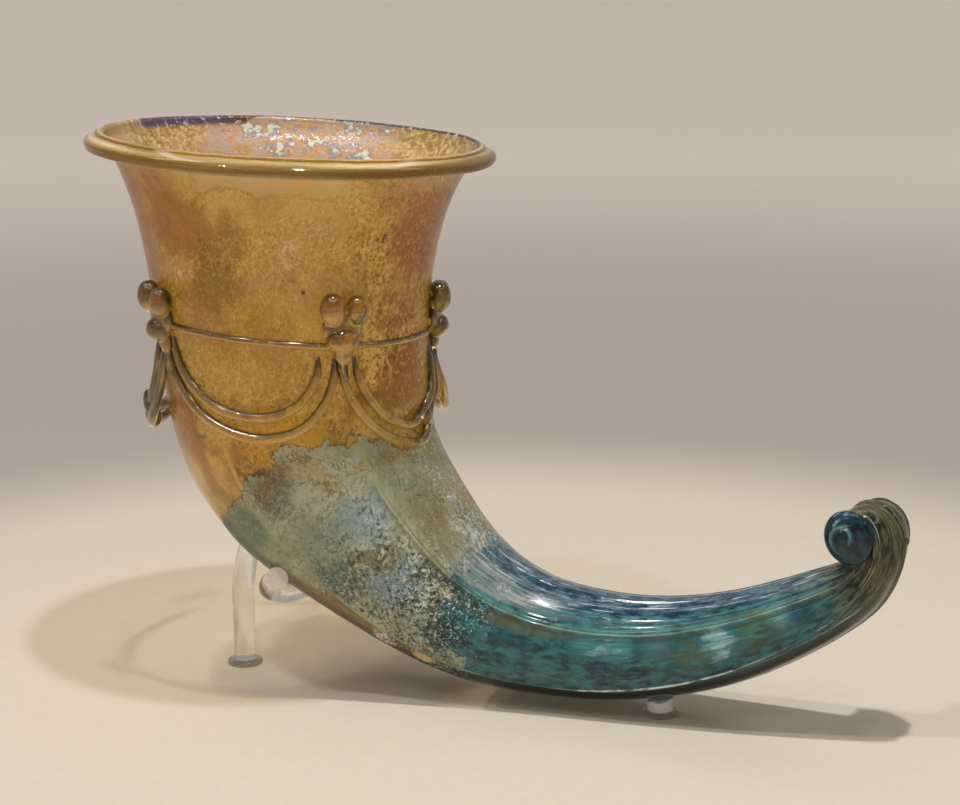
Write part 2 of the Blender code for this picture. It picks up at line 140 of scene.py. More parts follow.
# Each knob's angle round the horn, and how far its lobes rise above the belt.
KNOBS = ((-37, 8.6), (44.3, 13.4), (110, 11.2), (171, 11.0), (233, 11.0))
# Each swag from a knob to the next: how far its inner trail hangs below the belt, how far its
# middle stands off the wall, by how many degrees its start is moved, and how far lower its outer
# trail hangs.
SWAGS = (
    (27.0, 0.0, -4, 6.9), (30.5, 1.2, -5, 6.9), (34.8, 8.0, 0, 4.0), (28.0, 1.5, 0, 6.9),
    (39.2, 8.0, 0, 3.7),
)
# How far below the belt a swag starts, and how far from its knob each trail's end is.
SWAG_START = 4.0
INNER_END_OFFSET, OUTER_END_OFFSET = 8.6, 3.0

# The scroll's solid middle: where it is from a station of the middle line, its half length and
# radius, and its end discs' radius.
SCROLL_AT, SCROLL_INWARD, SCROLL_ONWARD = 360, 8.7, 0.9
SCROLL_HALF = 12.0
SCROLL_CORE = 8.2
DISC_RADIUS = 9.2
DISC_RINGS = (0.5, 1.1, 1.7, 2.3, 2.9, 3.5, 4.1, 4.7, 5.3, 5.9, 6.5, 7.1, 7.7, 8.2, 8.7)
# From a disc's rim to the bar between the discs: how far in from the end, and the radius.
DISC_RIM = (
    (0.9, DISC_RADIUS - 0.12), (1.6, DISC_RADIUS), (2.3, DISC_RADIUS - 0.15),
    (3.2, SCROLL_CORE + 0.5), (4.6, SCROLL_CORE),
)
DISC_SINKS = 0.6
SCROLL_SIDES = 72

# The stand: clear rods, their round feet, and where each stands.
ROD_HALF = 4.0
ROD_SIDES = 40
ROD_SPACING = 2.0
FOOT_HALF, FOOT_THICK = 6.5, 1.6
PEG_FOOT_HALF = FOOT_HALF - 0.4
FOOT_SIDES = 48
# A foot's outline from the shelf up: how far in from its rim, and how high.
FOOT_BEVEL = 0.35
FOOT_OUTLINE = (
    (0.15, 0), (0, 0.15), (0, FOOT_THICK - FOOT_BEVEL), (0.1, FOOT_THICK - 0.1),
    (FOOT_BEVEL, FOOT_THICK),
)
CRADLE_X, CRADLE_Y = -96.0, -3.0
CRADLE_POST_TOP = 31.0
ROD_LIFT = ROD_HALF + GAP
# The cradle's way round the belly: distance along the horn, angle round it, extra lift.
CRADLE_WAY = (
    (121, -101, 0.7), (122, -116, 0.4), (129, -130, 0.3), (138, -124, 0.2), (141, -104, 0.2),
    (140, -82, 0.4), (137, -62, 1.2), (136, -50, 1.2), (136.5, -37, 0.4),
)
PEG_X, PEG_Y, PEG_HALF = 63.8, -1.5, 4.6
PEG_FRONT_TOP = 5.4
PEG_SLOPE = math.radians(24)
PEG_SIDES = 56
# The stretch of the horn that the peg's top is hollowed to fit, and that hollow's sides.
PEG_CUT = range(224, 276, 3)
PEG_CUT_SIDES = 96

# The camera: the angles and distance that the photograph shows, for an image 960 by 805.
IMAGE_WIDTH = 960
VIEW_AZIMUTH = math.radians(20)
VIEW_ELEVATION = math.radians(12.4)
VIEW_DISTANCE = 717.0
VIEW_TARGET = (-3.6, 0.0, 106.0)
FOCAL_PIXELS = 2050.0
SENSOR = 36.0


def smooth_curve(table, column, at):
    """One column of a table of stations, read between them along a smooth curve."""
    xs = np.array([row[0] for row in table], float)
    ys = np.array([row[column] for row in table], float)
    slopes = np.empty_like(ys)
    slopes[1:-1] = (ys[2:] - ys[:-2]) / (xs[2:] - xs[:-2])
    slopes[0] = (ys[1] - ys[0]) / (xs[1] - xs[0])
    slopes[-1] = (ys[-1] - ys[-2]) / (xs[-1] - xs[-2])
    i = np.clip(np.searchsorted(xs, at, side="right") - 1, 0, len(xs) - 2)
    step = xs[i + 1] - xs[i]
    t = (at - xs[i]) / step
    start = (2 * t**3 - 3 * t**2 + 1) * ys[i] + (t**3 - 2 * t**2 + t) * step * slopes[i]
    end = (3 * t**2 - 2 * t**3) * ys[i + 1] + (t**3 - t**2) * step * slopes[i + 1]
    return start + end


def smooth_step(at, low, high):
    t = np.clip((at - low) / (high - low), 0.0, 1.0)
    return t * t * (3 - 2 * t)


def unit(vector):
    return vector / np.linalg.norm(vector)


def circle(count, start=0.0):
    """The angles of evenly spaced points round a circle."""
    return TAU * (np.arange(count) + start) / count


def spokes(turns, first, second):
    """The directions at angles from one way across a bar to another."""
    return np.cos(turns)[:, None] * first + np.sin(turns)[:, None] * second


class Spine:
    """The horn's middle line in space, with the directions across and into its bend."""

    STEP = 0.5

    def __init__(self):
        self.along = np.arange(0.0, LAST_RING + self.STEP, self.STEP)
        heading = np.radians(smooth_curve(HEADINGS, 1, self.along))
        yaw = SCROLL_YAW * smooth_step(self.along, YAW_FROM, YAW_TO)
        forward = np.stack([np.cos(yaw), -np.sin(yaw), 0 * yaw], -1)
        up = np.array([0.0, 0.0, 1.0])
        cos_h, sin_h = np.cos(heading)[:, None], np.sin(heading)[:, None]
        self.tangent = forward * cos_h + up * sin_h
        self.inward = up * cos_h - forward * sin_h
        self.side = np.stack([np.sin(yaw), np.cos(yaw), 0 * yaw], -1)
        moves = (self.tangent[1:] + self.tangent[:-1]) / 2 * self.STEP
        start = np.array([[MOUTH_X, 0.0, MOUTH_Z]])
        self.centre = np.concatenate([start, start + np.cumsum(moves, axis=0)])

    def at(self, along):
        """Centre, tangent, inward and side at a distance; below 0 it runs straight on."""
        rows = []
        for values in (self.centre, self.tangent, self.inward, self.side):
            rows.append(np.array([np.interp(along, self.along, values[:, k]) for k in range(3)]))
        centre, tangent, inward, side = rows
        if along < 0:
            centre = centre + tangent * along
        return centre, tangent, inward, side


SPINE = Spine()


def half_sizes(along):
    """Half the horn's thickness in the plane of its bend, and half its width across it."""
    return smooth_curve(GIRTH, 1, along), smooth_curve(GIRTH, 2, along)


def horn_point(along, around, lift=0.0):
    """A point on the horn's outer skin, or lifted off it, and the way out of the skin there."""
    centre, _, inward, side = SPINE.at(along)
    thick, wide = half_sizes(along)
    turn = math.radians(around)
    out = inward * math.sin(turn) - side * math.cos(turn)
    skin = inward * math.sin(turn) * thick - side * math.cos(turn) * wide
    return centre + skin + out * lift, out


def skin_at_height(around, height):
    """How far along the horn its skin, at an angle round it, comes down to a height."""
    low, high = 5.0, 170.0
    halvings = 30
    for _ in range(halvings):
        middle = (low + high) / 2
        if horn_point(middle, around)[0][2] > height:
            low = middle
        else:
            high = middle
    return (low + high) / 2


def rib_angle(rib, along):
    way = rib[1]
    return float(smooth_curve(way, 1, np.clip(along, way[0][0], way[-1][0])))


def rib_height(rib, along):
    start = rib[1][0][0]
    return rib[0] * smooth_step(along, start, start + RIB_GROWS_OVER)


def rib_gaps(along):
    """The angle from each rib to the next one round the horn."""
    crests = [rib_angle(rib, along) for rib in RIBS]
    return [(b - a) % 360 for a, b in zip(crests, crests[1:] + crests[:1])]


def share_points():
    """How many plain points go between each rib and the next, in proportion to the gaps."""
    gaps = rib_gaps(SHARED_AT)
    spare = SIDES - (RIB_STEPS + 1) * len(RIBS)
    fills = [int(spare * gap / 360) for gap in gaps]
    while sum(fills) < spare:
        widest = max(range(len(RIBS)), key=lambda i: gaps[i] / (fills[i] + 1))
        fills[widest] += 1
    return fills


FILLS = share_points()
ACROSS_RIB = np.linspace(-1.0, 1.0, RIB_STEPS + 1)


def ring_angles(along):
    """The angles of one ring's points: evenly spaced at the mouth, and further down closely
    spaced across each rib with even steps between the ribs."""
    radius = max(half_sizes(max(along, 0.0)))
    half = math.degrees(RIB_HALF_WIDTH / min(max(radius, RIB_RADIUS_LOW), RIB_RADIUS_HIGH))
    crest = rib_angle(RIBS[0], along)
    even = crest - half + 360 * np.arange(SIDES) / SIDES
    ribbed = []
    for gap, fill in zip(rib_gaps(along), FILLS):
        ribbed += list(crest + half * ACROSS_RIB)
        between = np.arange(1, fill + 1) / (fill + 1)
        ribbed += list(crest + half + (gap - 2 * half) * between)
        crest += gap
    share = smooth_step(along, EVEN_UNTIL, RIBBED_FROM)
    return even + (np.array(ribbed) - even) * share


def rib_profile(index):
    """The rise across a rib, from 0 at its feet to 1: one crest, or two with a groove."""
    if index == DOUBLE_RIB:
        dome = 1 - np.abs(ACROSS_RIB) ** 3
        return dome - GROOVE_DEPTH * np.exp(-(ACROSS_RIB / GROOVE_WIDTH) ** 2)
    return 0.5 + 0.5 * np.cos(math.pi * ACROSS_RIB)


def ring_lifts(along):
    """How far each of a ring's points stands off the plain skin, for its ribs."""
    lifts = []
    for index, (rib, fill) in enumerate(zip(RIBS, FILLS)):
        height = rib_height(rib, along)
        lifts += list(height * rib_profile(index))
        steps = np.minimum(np.arange(1, fill + 1), np.arange(fill, 0, -1))
        lifts += list(-DIP * height * np.exp(-((steps - DIP_AT) / DIP_WIDTH) ** 2))
    return np.array(lifts)


def turns_to_ring(along, turns, thick, wide):
    """Points round the middle line at angles, and the way out at each."""
    centre, _, inward, side = SPINE.at(along)
    sin_t, cos_t = np.sin(turns)[:, None], np.cos(turns)[:, None]
    out = inward * sin_t - side * cos_t
    thick, wide = np.reshape(thick, (-1, 1)), np.reshape(wide, (-1, 1))
    return centre + inward * sin_t * thick - side * cos_t * wide, out


def arc(radius, height, tube, first, last, count):
    """Points (radius, height) along an arc of a lip roll, by angles in degrees."""
    turns = np.radians(np.linspace(first, last, count))
    return [(radius + tube * math.cos(t), height + tube * math.sin(t)) for t in turns]


def hollow_radius(along):
    share = along / HOLLOW_END
    wall = WALL_AT_MOUTH + (WALL_AT_TAIL - WALL_AT_MOUTH) * share**2
    return min(half_sizes(along)) - wall


# How uneven the glass is: height in millimetres, and the size of its swellings. The skin's die
# away over a distance before its last ring.
SKIN_WAVES = ((0.30, 34.0), (0.10, 9.0))
SKIN_WAVES_END = 40
HOLLOW_WAVES = ((0.22, 26.0), (0.08, 7.0))
LIP_WAVES = ((0.35, 40.0), (0.10, 11.0))
# Each surface reads the noise elsewhere: steps between the surfaces, and between their layers.
SURFACE_STEP, LAYER_STEP = 7.3, 5.1


def waves(points, layers, seed):
    """A smooth uneven height at each point, the sum of a few sizes of swelling."""
    total = np.zeros(len(points))
    for number, (height, size) in enumerate(layers):
        shift = Vector((seed * SURFACE_STEP, number * LAYER_STEP, 0.0))
        values = [noise.noise(Vector(p) / size + shift) for p in points.tolist()]
        total += height * np.array(values)
    return total


# The weathering crust: the height its upper edge is at, how that sinks towards the outside of
# the bend, where along the horn it ends, and how thick it is.
CRUST_TOP = 95.0
CRUST_SINKS_FROM, CRUST_SINKS = -56.0, 0.85
CRUST_TO = 198.0
CRUST_SLANT, CRUST_FIRST_END = 13.0, math.radians(20)
CRUST_UPPER_SLANT = 15.0
CRUST_EDGE = 4.5
CRUST_THICK = 0.22
CRUST_WANDER = ((7.0, 24.0), (5.0, 8.0), (3.0, 3.4))


def crust_at(points, along, turns):
    """How much crust covers each point of the skin, 0 to 1, with a ragged edge."""
    wander = waves(points, CRUST_WANDER, 3)
    sunk = CRUST_SINKS * np.maximum(0.0, CRUST_SINKS_FROM - points[:, 0])
    below = CRUST_TOP - sunk - points[:, 2] + wander
    begins = smooth_step(below, -CRUST_EDGE, CRUST_EDGE)
    along = along + CRUST_SLANT * np.cos(turns - CRUST_FIRST_END) ** 2
    along = along + CRUST_UPPER_SLANT * np.maximum(0.0, np.sin(turns)) ** 4
    ends = smooth_step(along + wander, CRUST_TO - CRUST_EDGE, CRUST_TO + CRUST_EDGE)
    return begins * (1 - ends)


def outer_ring(along):
    turns = np.radians(ring_angles(along))
    thick, wide = half_sizes(along)
    points, out = turns_to_ring(along, turns, thick, wide)
    fade = smooth_step(LAST_RING - along, 0, SKIN_WAVES_END)
    lift = ring_lifts(along) + waves(points, SKIN_WAVES, 1) * fade
    lift += CRUST_THICK * (crust_at(points, along, turns) - 0.5)
    return points + out * lift[:, None]


def inner_ring(along, radius):
    turns = np.radians(ring_angles(along))
    points, out = turns_to_ring(along, turns, radius, radius)
    return points + out * waves(points, HOLLOW_WAVES, 2)[:, None]


def lip_ring(height, radius):
    """One ring of the folded lip, which rises and falls a little round the mouth."""
    turns = np.radians(ring_angles(0.0))
    points, _ = turns_to_ring(-height, turns, radius, radius)
    base, _ = turns_to_ring(0.0, turns, CREST_RADIUS, CREST_RADIUS)
    rise = waves(base, LIP_WAVES, 4)
    share = smooth_step(height, LIP_RISES_FROM, LIP_RISES_TO)
    return points + np.array([0.0, 0.0, 1.0]) * rise[:, None] * share


def stations(first, last, spacing):
    return list(np.linspace(first, last, max(2, int(round((last - first) / spacing)) + 1)))


def horn_rings():
    """All rings of the closed body: up the hollow from its end, over the lip, down outside."""
    rings = []
    cap_from = HOLLOW_END - CAP_LENGTH
    end_radius = hollow_radius(cap_from)
    for share in CAP_RINGS:
        depth = end_radius * CAP_DEPTH * (math.sqrt(1 - share**2) - 1)
        rings.append(inner_ring(HOLLOW_END + depth + CAP_LENGTH / 2, end_radius * share))
    for along in reversed(stations(HOLLOW_START, cap_from, HOLLOW_SPACING)):
        rings.append(inner_ring(along, hollow_radius(along)))
    lip = arc(CREST_RADIUS, CREST_HEIGHT, CREST_TUBE, *CREST_ARC)
    lip += arc(ROLL_RADIUS, ROLL_HEIGHT, ROLL_TUBE, *ROLL_ARC)
    rings += [lip_ring(height, radius) for radius, height in lip]
    for stretch in OUTSIDE:
        rings += [outer_ring(along) for along in stations(*stretch)]
    return rings


def new_object(name, data, materials=()):
    item = bpy.data.objects.new(name, data)
    bpy.context.scene.collection.objects.link(item)
    for material in materials:
        data.materials.append(material)
    return item


def loft(name, rings, closed=False):
    """A mesh through rings of equal count, with a fan at each end unless it closes on itself."""
    rows, count = len(rings), len(rings[0])
    points = np.concatenate([np.asarray(ring) for ring in rings])
    here = np.arange(rows if closed else rows - 1)[:, None] * count
    ahead = (here + count) % (rows * count)
    i = np.arange(count)[None, :]
    j = (i + 1) % count
    quads = np.stack([here + i, here + j, ahead + j, ahead + i], -1).reshape(-1, 4).tolist()
    if not closed:
        middles = np.array([np.mean(rings[0], axis=0), np.mean(rings[-1], axis=0)])
        low, high, last = len(points), len(points) + 1, (rows - 1) * count
        quads += [[(k + 1) % count, k, low] for k in range(count)]
        quads += [[last + k, last + (k + 1) % count, high] for k in range(count)]
        points = np.concatenate([points, middles])
    mesh = bpy.data.meshes.new(name)
    mesh.from_pydata((points * MM).tolist(), [], quads)
    bm = bmesh.new()
    bm.from_mesh(mesh)
    bmesh.ops.recalc_face_normals(bm, faces=bm.faces)
    bm.to_mesh(mesh)
    bm.free()
    return mesh


def tube(name, rows, sides, closed=False):
    """A round bar along rows of a point, the normal there and the half thickness."""
    rings = []
    count = len(rows)
    for i, (point, normal, half) in enumerate(rows):
        before = rows[i - 1][0] if closed or i else point
        after = rows[(i + 1) % count][0] if closed or i < count - 1 else point
        along = unit(after - before)
        across = unit(np.cross(along, normal))
        ring = spokes(circle(sides, 0.5), np.cross(across, along), across)
        rings.append(point + half * ring)
    return loft(name, rings, closed)


def belt_along(around, drop=0.0):
    """How far along the horn its belt runs at an angle round it, or a line hung below it."""
    x = MOUTH_X + half_sizes(BELT_ALONG)[0] * math.sin(math.radians(around))
    return skin_at_height(around, BELT_HEIGHT - (x - MOUTH_X) * math.tan(BELT_SLOPE) - drop)


def belt_trail():
    rows = []
    for k in range(BELT_POINTS):
        around = 360 * k / BELT_POINTS
        wave = math.cos(math.radians(around)) * BELT_WAVES
        swell = noise.noise(Vector((wave, around / 360, 1.0)))
        point, out = horn_point(belt_along(around, BELT_WANDERS * swell), around, BELT_LIFT)
        rows.append((point, out, BELT_HALF * (1 + BELT_SWELLS * swell)))
    return tube("belt", rows, TRAIL_SIDES, closed=True)


def swag_trail(first, last, drop, stand_off, end_offset):
    """One hanging trail between two knobs, a half ellipse on the skin, free in its middle and
    melted into the wall at its ends."""
    rows = []
    radius = half_sizes(KNOBS_ALONG)[0]
    half_span = (last - first) / 2 - math.degrees(end_offset / radius)
    middle = (first + last) / 2
    for k in range(SWAG_POINTS):
        turn = math.pi * k / (SWAG_POINTS - 1)
        low = math.sin(turn)
        around = middle - half_span * math.cos(turn)
        swell = noise.noise(Vector((turn * SWAG_WAVES, first * SWAG_STEP, drop * DROP_STEP)))
        hang = SWAG_START + (drop - SWAG_START) * low + SWAG_WANDERS * swell
        melt = 1 - float(smooth_step(min(turn, math.pi - turn), 0.0, SWAG_END_TAPERS))
        lift = SWAG_LIFT + stand_off * low**2 - SWAG_END_SINKS * melt
        point, out = horn_point(belt_along(around, hang), around, lift)
        half = SWAG_HALF * (1 - SWAG_THINS + SWAG_THINS * low) * (1 + SWAG_SWELLS * swell)
        rows.append((point, out, half * (1 - SWAG_TIP_THINS * melt)))
    return tube("swag", rows, TRAIL_SIDES)


def swag_trails():
    """The inner and outer trail of every swag."""
    trails = []
    for i, (drop, stand_off, shift, spacing) in enumerate(SWAGS):
        first, last = KNOBS[i][0] + shift, KNOBS[(i + 1) % len(KNOBS)][0]
        last = last if last > first else last + 360
        trails.append(swag_trail(first, last, drop, stand_off, INNER_END_OFFSET))
        trails.append(swag_trail(first, last, drop + spacing, stand_off, OUTER_END_OFFSET))
    return trails


def blob(centre, axes, sizes, rings=9, sides=18):
    """A closed egg shape: its half sizes along three axes, the second one from end to end."""
    across, up, out = axes
    rows = []
    for i in range(rings):
        polar = math.pi * (i + 1) / (rings + 1)
        row = spokes(circle(sides), across * sizes[0], out * sizes[2]) * math.sin(polar)
        rows.append(centre + up * sizes[1] * math.cos(polar) + row)
    return loft("blob", rows)


def skin_blob(around, drop, lift, sizes, *counts):
    """A blob on the skin by its drop below the belt, its sizes across, down and out."""
    along = belt_along(around, drop)
    place, out = horn_point(along, around)
    down = unit(horn_point(along + 1, around)[0] - horn_point(along - 1, around)[0])
    across = unit(np.cross(out, down))
    out = np.cross(down, across)
    return blob(place + out * lift, (across, down, out), sizes, *counts)


# Drops at the trails' lowest parts: angle round, drop below the belt, lift, and half sizes.
TRAIL_DROPS = (
    (-68, 38.4, 6.4, (2.9, 4.6, 2.9)), (-62, 33.0, 6.2, (2.4, 5.0, 2.4)),
    (89, 29.0, 1.6, (2.6, 3.4, 2.3)),
)
TRAIL_DROP_RINGS, TRAIL_DROP_SIDES = 13, 24


def trail_drops():
    return [skin_blob(*drop, TRAIL_DROP_RINGS, TRAIL_DROP_SIDES) for drop in TRAIL_DROPS]


def join_meshes(name, meshes):
    """One mesh of several, each still its own shell."""
    bm = bmesh.new()
    for mesh in meshes:
        bm.from_mesh(mesh)
    joined = bpy.data.meshes.new(name)
    bm.to_mesh(joined)
    bm.free()
    return joined


def evaluated(item):
    """A copy of an object's mesh as its modifiers leave it, and the object taken away."""
    graph = bpy.context.evaluated_depsgraph_get()
    mesh = bpy.data.meshes.new_from_object(item.evaluated_get(graph))
    bpy.data.objects.remove(item)
    return mesh


def melted(name, meshes):
    """Several shells melted into one soft closed body."""
    item = new_object(name, join_meshes(name, meshes))
    remesh = item.modifiers.new("melt", "REMESH")
    remesh.mode = "VOXEL"
    remesh.voxel_size = KNOB_VOXEL * MM
    smooth = item.modifiers.new("soften", "SMOOTH")
    smooth.factor = SOFTEN_BY
    smooth.iterations = SOFTEN_ROUNDS
    return evaluated(item)


# A pinched knob's parts, each as sideways, drop below the lobes, lift off the skin, and half
# sizes across, down and out.
KNOB_PARTS = (
    (-3.8, -0.2, 3.2, (4.5, 5.7, 4.4)),
    (4.3, 0.2, 3.2, (4.0, 5.2, 4.2)),
    (0.0, 6.6, 1.3, (7.4, 6.8, 2.9)),
    (-0.6, 10.8, 3.1, (5.8, 4.2, 4.1)),
    (-0.4, 9.2, 5.8, (3.0, 0.8, 1.0)),
    (-0.4, 12.3, 5.7, (2.8, 0.8, 0.9)),
    (0.0, 15.0, 1.0, (3.4, 4.8, 2.4)),
    (0.0, 21.5, 0.4, (1.5, 7.6, 1.9)),
)
KNOB_VOXEL = 0.46
SOFTEN_BY, SOFTEN_ROUNDS = 0.5, 2


def knob(around, lobe_rise):
    shells = []
    radius = half_sizes(KNOBS_ALONG)[0]
    for sideways, below, lift, sizes in KNOB_PARTS:
        angle = around + math.degrees(sideways / radius)
        shells.append(skin_blob(angle, below - lobe_rise, lift, sizes))
    return melted("knob", shells)


def scroll_frame():
    """The scroll's middle, its axle, and two ways across it."""
    start, onward, inward, side = SPINE.at(SCROLL_AT)
    centre = start + inward * SCROLL_INWARD + onward * SCROLL_ONWARD
    up = np.array([0.0, 0.0, 1.0])
    return centre, side, np.cross(side, up), up


DISC_DOME = 2.4
BOSS_RISE, BOSS_RADIUS = 0.9, 2.2
# The curling line: its rise, how far apart its rounds are, where it starts as a share of a
# round, how wide it is as a share of its pitch, and the radii that it comes and goes between.
CURL_RISE = 0.75
CURL_PITCH, CURL_START, CURL_WIDTH = 5.4, 0.05, 0.085
CURL_COMES, CURL_GOES = (1.6, 3.0), (4.6, 6.8)


def curl_line(radius, turns):
    """1 on the crest of the curling line of a disc's face, 0 away from it."""
    phase = (radius / CURL_PITCH - turns / TAU + CURL_START) % 1.0
    line = np.exp(-((phase - 0.5) / CURL_WIDTH) ** 2)
    return line * smooth_step(radius, *CURL_COMES) * (1 - smooth_step(radius, *CURL_GOES))


def disc_face(radius, turns):
    """How far a disc's face stands out: a dome with a boss, and one curling line round it."""
    dome = DISC_DOME * (1 - (radius / DISC_RADIUS) ** 2)
    boss = BOSS_RISE * math.exp(-(radius / BOSS_RADIUS) ** 2)
    return dome + boss + CURL_RISE * curl_line(radius, turns)


def scroll_core():
    """The solid middle of the scroll: a turned bar whose round end faces carry a spiral."""
    centre, side, fore, up = scroll_frame()
    turns = circle(SCROLL_SIDES)
    end = SCROLL_HALF + 0.1
    rings = [(end - DISC_SINKS + disc_face(radius, turns), radius) for radius in DISC_RINGS]
    rings += [(np.full(SCROLL_SIDES, end - inwards), radius) for inwards, radius in DISC_RIM]
    rings += [(-places, radius) for places, radius in reversed(rings)]
    across = spokes(turns, fore, up)
    rows = [centre + side * places[:, None] + radius * across for places, radius in rings]
    return loft("scroll", rows)


# Drops of glass left on the back of the roll: middle, and half sizes across, down and out.
DROPS = (((145.0, -0.2, 70.6), (1.7, 2.0, 1.9)), ((141.8, -7.0, 64.4), (2.5, 6.2, 2.6)))
DROP_AXES = np.array([(0.36, 0.93, 0.0), (0.0, 0.0, 1.0), (0.93, -0.36, 0.0)])
DROP_RINGS, DROP_SIDES = 15, 28


def scroll_drops():
    shapes = []
    for place, sizes in DROPS:
        shapes.append(blob(np.array(place), DROP_AXES, sizes, DROP_RINGS, DROP_SIDES))
    return shapes


def drop_pockets(mesh):
    """Keep a mesh's largest shell: a tiny sealed pocket can be left where three shapes meet."""
    bm = bmesh.new()
    bm.from_mesh(mesh)
    waiting = set(bm.verts)
    shells = []
    while waiting:
        shell = [waiting.pop()]
        for vert in shell:
            for edge in vert.link_edges:
                other = edge.other_vert(vert)
                if other in waiting:
                    waiting.remove(other)
                    shell.append(other)
        shells.append(shell)
    shells.sort(key=len)
    for shell in shells[:-1]:
        bmesh.ops.delete(bm, geom=shell, context="VERTS")
    bm.to_mesh(mesh)
    bm.free()


def boolean(item, operation, tools):
    """Fuse or cut an object with all its tool bodies in one step, and give back the mesh."""
    group = bpy.data.collections.new("tools")
    for tool in tools:
        group.objects.link(tool)
    step = item.modifiers.new(operation.lower(), "BOOLEAN")
    step.operation = operation
    step.solver = "EXACT"
    step.material_mode = "TRANSFER"
    step.operand_type = "COLLECTION"
    step.collection = group
    mesh = evaluated(item)
    drop_pockets(mesh)
    for tool in tools:
        bpy.data.objects.remove(tool)
    bpy.data.collections.remove(group)
    return mesh


# Points that no rib is near count as this far from one, and a crest and a rib's feet are this
# wide.
FAR_OFF, CREST_MARGIN = 99.0, 0.2


def crest_line(along, turns, radius):
    """1 on the crest of a rib, falling to 0 at its feet."""
    nearest = np.full(len(along), FAR_OFF)
    for rib in RIBS:
        way = rib[1]
        crest = smooth_curve(way, 1, np.clip(along, way[0][0], way[-1][0]))
        gap = np.radians(np.abs((turns - crest + 180) % 360 - 180)) * radius
        nearest = np.minimum(nearest, np.where(along > way[0][0], gap, FAR_OFF))
    return 1 - smooth_step(nearest, CREST_MARGIN, RIB_HALF_WIDTH - CREST_MARGIN)


# The hollow's points are this far inside the skin, and a disc's points lie this near its end.
INSIDE_BY = 1.2
DISC_DEPTH, DISC_MARGIN = 2.6, 0.35
# The marks' measures: distance along in decimetres, rise off the skin kept between two values,
# and the smooth place as centimetres along and this much to each side round the horn.
DECIMETRE, CENTIMETRE = 100, 10
RISE_LOW, RISE_HIGH = -2, 8
FLOW_ROUND = 3


def add_marks(mesh):
    """Point attributes that the glass's shaders read: the distance along the horn, a smooth
    place on it, how far it stands off the skin, the ribs' crests, the crust, and flags for the
    hollow and for the scroll's discs and their curling lines."""
    points = np.empty(len(mesh.vertices) * 3, np.float32)
    mesh.vertices.foreach_get("co", points)
    points = points.reshape(-1, 3) / MM
    centres = SPINE.centre.astype(np.float32)
    nearest = np.empty(len(points), int)
    batch = 20000
    for first in range(0, len(points), batch):
        part = points[first:first + batch]
        gaps = (part**2).sum(1)[:, None] - 2 * part @ centres.T + (centres**2).sum(1)[None, :]
        nearest[first:first + batch] = gaps.argmin(1)
    along = SPINE.along[nearest]
    away = points - centres[nearest]
    rise = (away * SPINE.inward[nearest]).sum(1)
    sideways = -(away * SPINE.side[nearest]).sum(1)
    radius = np.hypot(rise, sideways)
    thick, wide = half_sizes(along)
    limit = np.minimum(thick, wide) - INSIDE_BY
    inner = (radius < limit) & (along < HOLLOW_END + 1) & (along > 0.5)
    turned = FLOW_ROUND * np.stack([sideways, rise]) / radius
    flow = np.stack([along / CENTIMETRE, *turned], -1)
    centre, side, fore, up = scroll_frame()
    out = np.abs((points - centre) @ side)
    forwards, upwards = (points - centre) @ fore, (points - centre) @ up
    across = np.hypot(forwards, upwards)
    disc = (out > SCROLL_HALF - DISC_DEPTH) & (across < DISC_RADIUS + DISC_MARGIN)
    skin = np.where(np.abs(rise) > np.abs(sideways), thick, wide)
    turns = np.degrees(np.arctan2(rise, sideways))
    marks = {
        "along": along / DECIMETRE,
        "crest": crest_line(along, turns, radius),
        "rise": np.clip(radius - skin, RISE_LOW, RISE_HIGH),
        "inner": inner.astype(float),
        "crust": crust_at(points, along, np.arctan2(rise, sideways)) * (1 - inner),
        "disc": disc.astype(float),
        "curl": curl_line(across, np.arctan2(upwards, forwards)) * disc,
    }
    for name, values in marks.items():
        layer = mesh.attributes.new(name, "FLOAT", "POINT")
        layer.data.foreach_set("value", values.astype(np.float32))
    layer = mesh.attributes.new("flow", "FLOAT_VECTOR", "POINT")
    layer.data.foreach_set("vector", flow.astype(np.float32).reshape(-1))


def route(points, spacing):
    """Evenly spaced points along a smooth curve through the given ones."""
    points = [np.array(point, float) for point in points]
    lengths = [0.0]
    for a, b in zip(points, points[1:]):
        lengths.append(lengths[-1] + float(np.linalg.norm(b - a)))
    table = [(length, *point) for length, point in zip(lengths, points)]
    count = int(lengths[-1] / spacing) + 1
    places = np.linspace(0.0, lengths[-1], count)
    return np.stack([smooth_curve(table, k, places) for k in (1, 2, 3)], -1)


def cradle_way():
    """A route up the post, then round the belly just clear of the skin."""
    bottom = FOOT_THICK + GAP
    way = [(CRADLE_X, CRADLE_Y, height) for height in np.linspace(bottom, CRADLE_POST_TOP, 4)]
    for along, around, extra in CRADLE_WAY:
        way.append(tuple(horn_point(along, around, ROD_LIFT + extra)[0]))
    return route(way, ROD_SPACING)


def rod_mesh(name, points):
    """A round bar along a route, cut square at both ends."""
    rows = []
    normal = np.array([0.0, -1.0, 0.0])
    for i, point in enumerate(points):
        ahead = unit(points[min(i + 1, len(points) - 1)] - points[max(i - 1, 0)])
        normal = unit(normal - ahead * float(np.dot(normal, ahead)))
        rows.append((point, normal, ROD_HALF))
    return tube(name, rows, ROD_SIDES)


def disc_mesh(name, x, y, half):
    """A round foot with a softened rim."""
    turns = circle(FOOT_SIDES)
    rings = []
    for inwards, height in FOOT_OUTLINE:
        radius = half - inwards
        level = np.full(FOOT_SIDES, float(height))
        rings.append(np.stack([x + radius * np.cos(turns), y + radius * np.sin(turns), level], -1))
    return loft(name, rings)


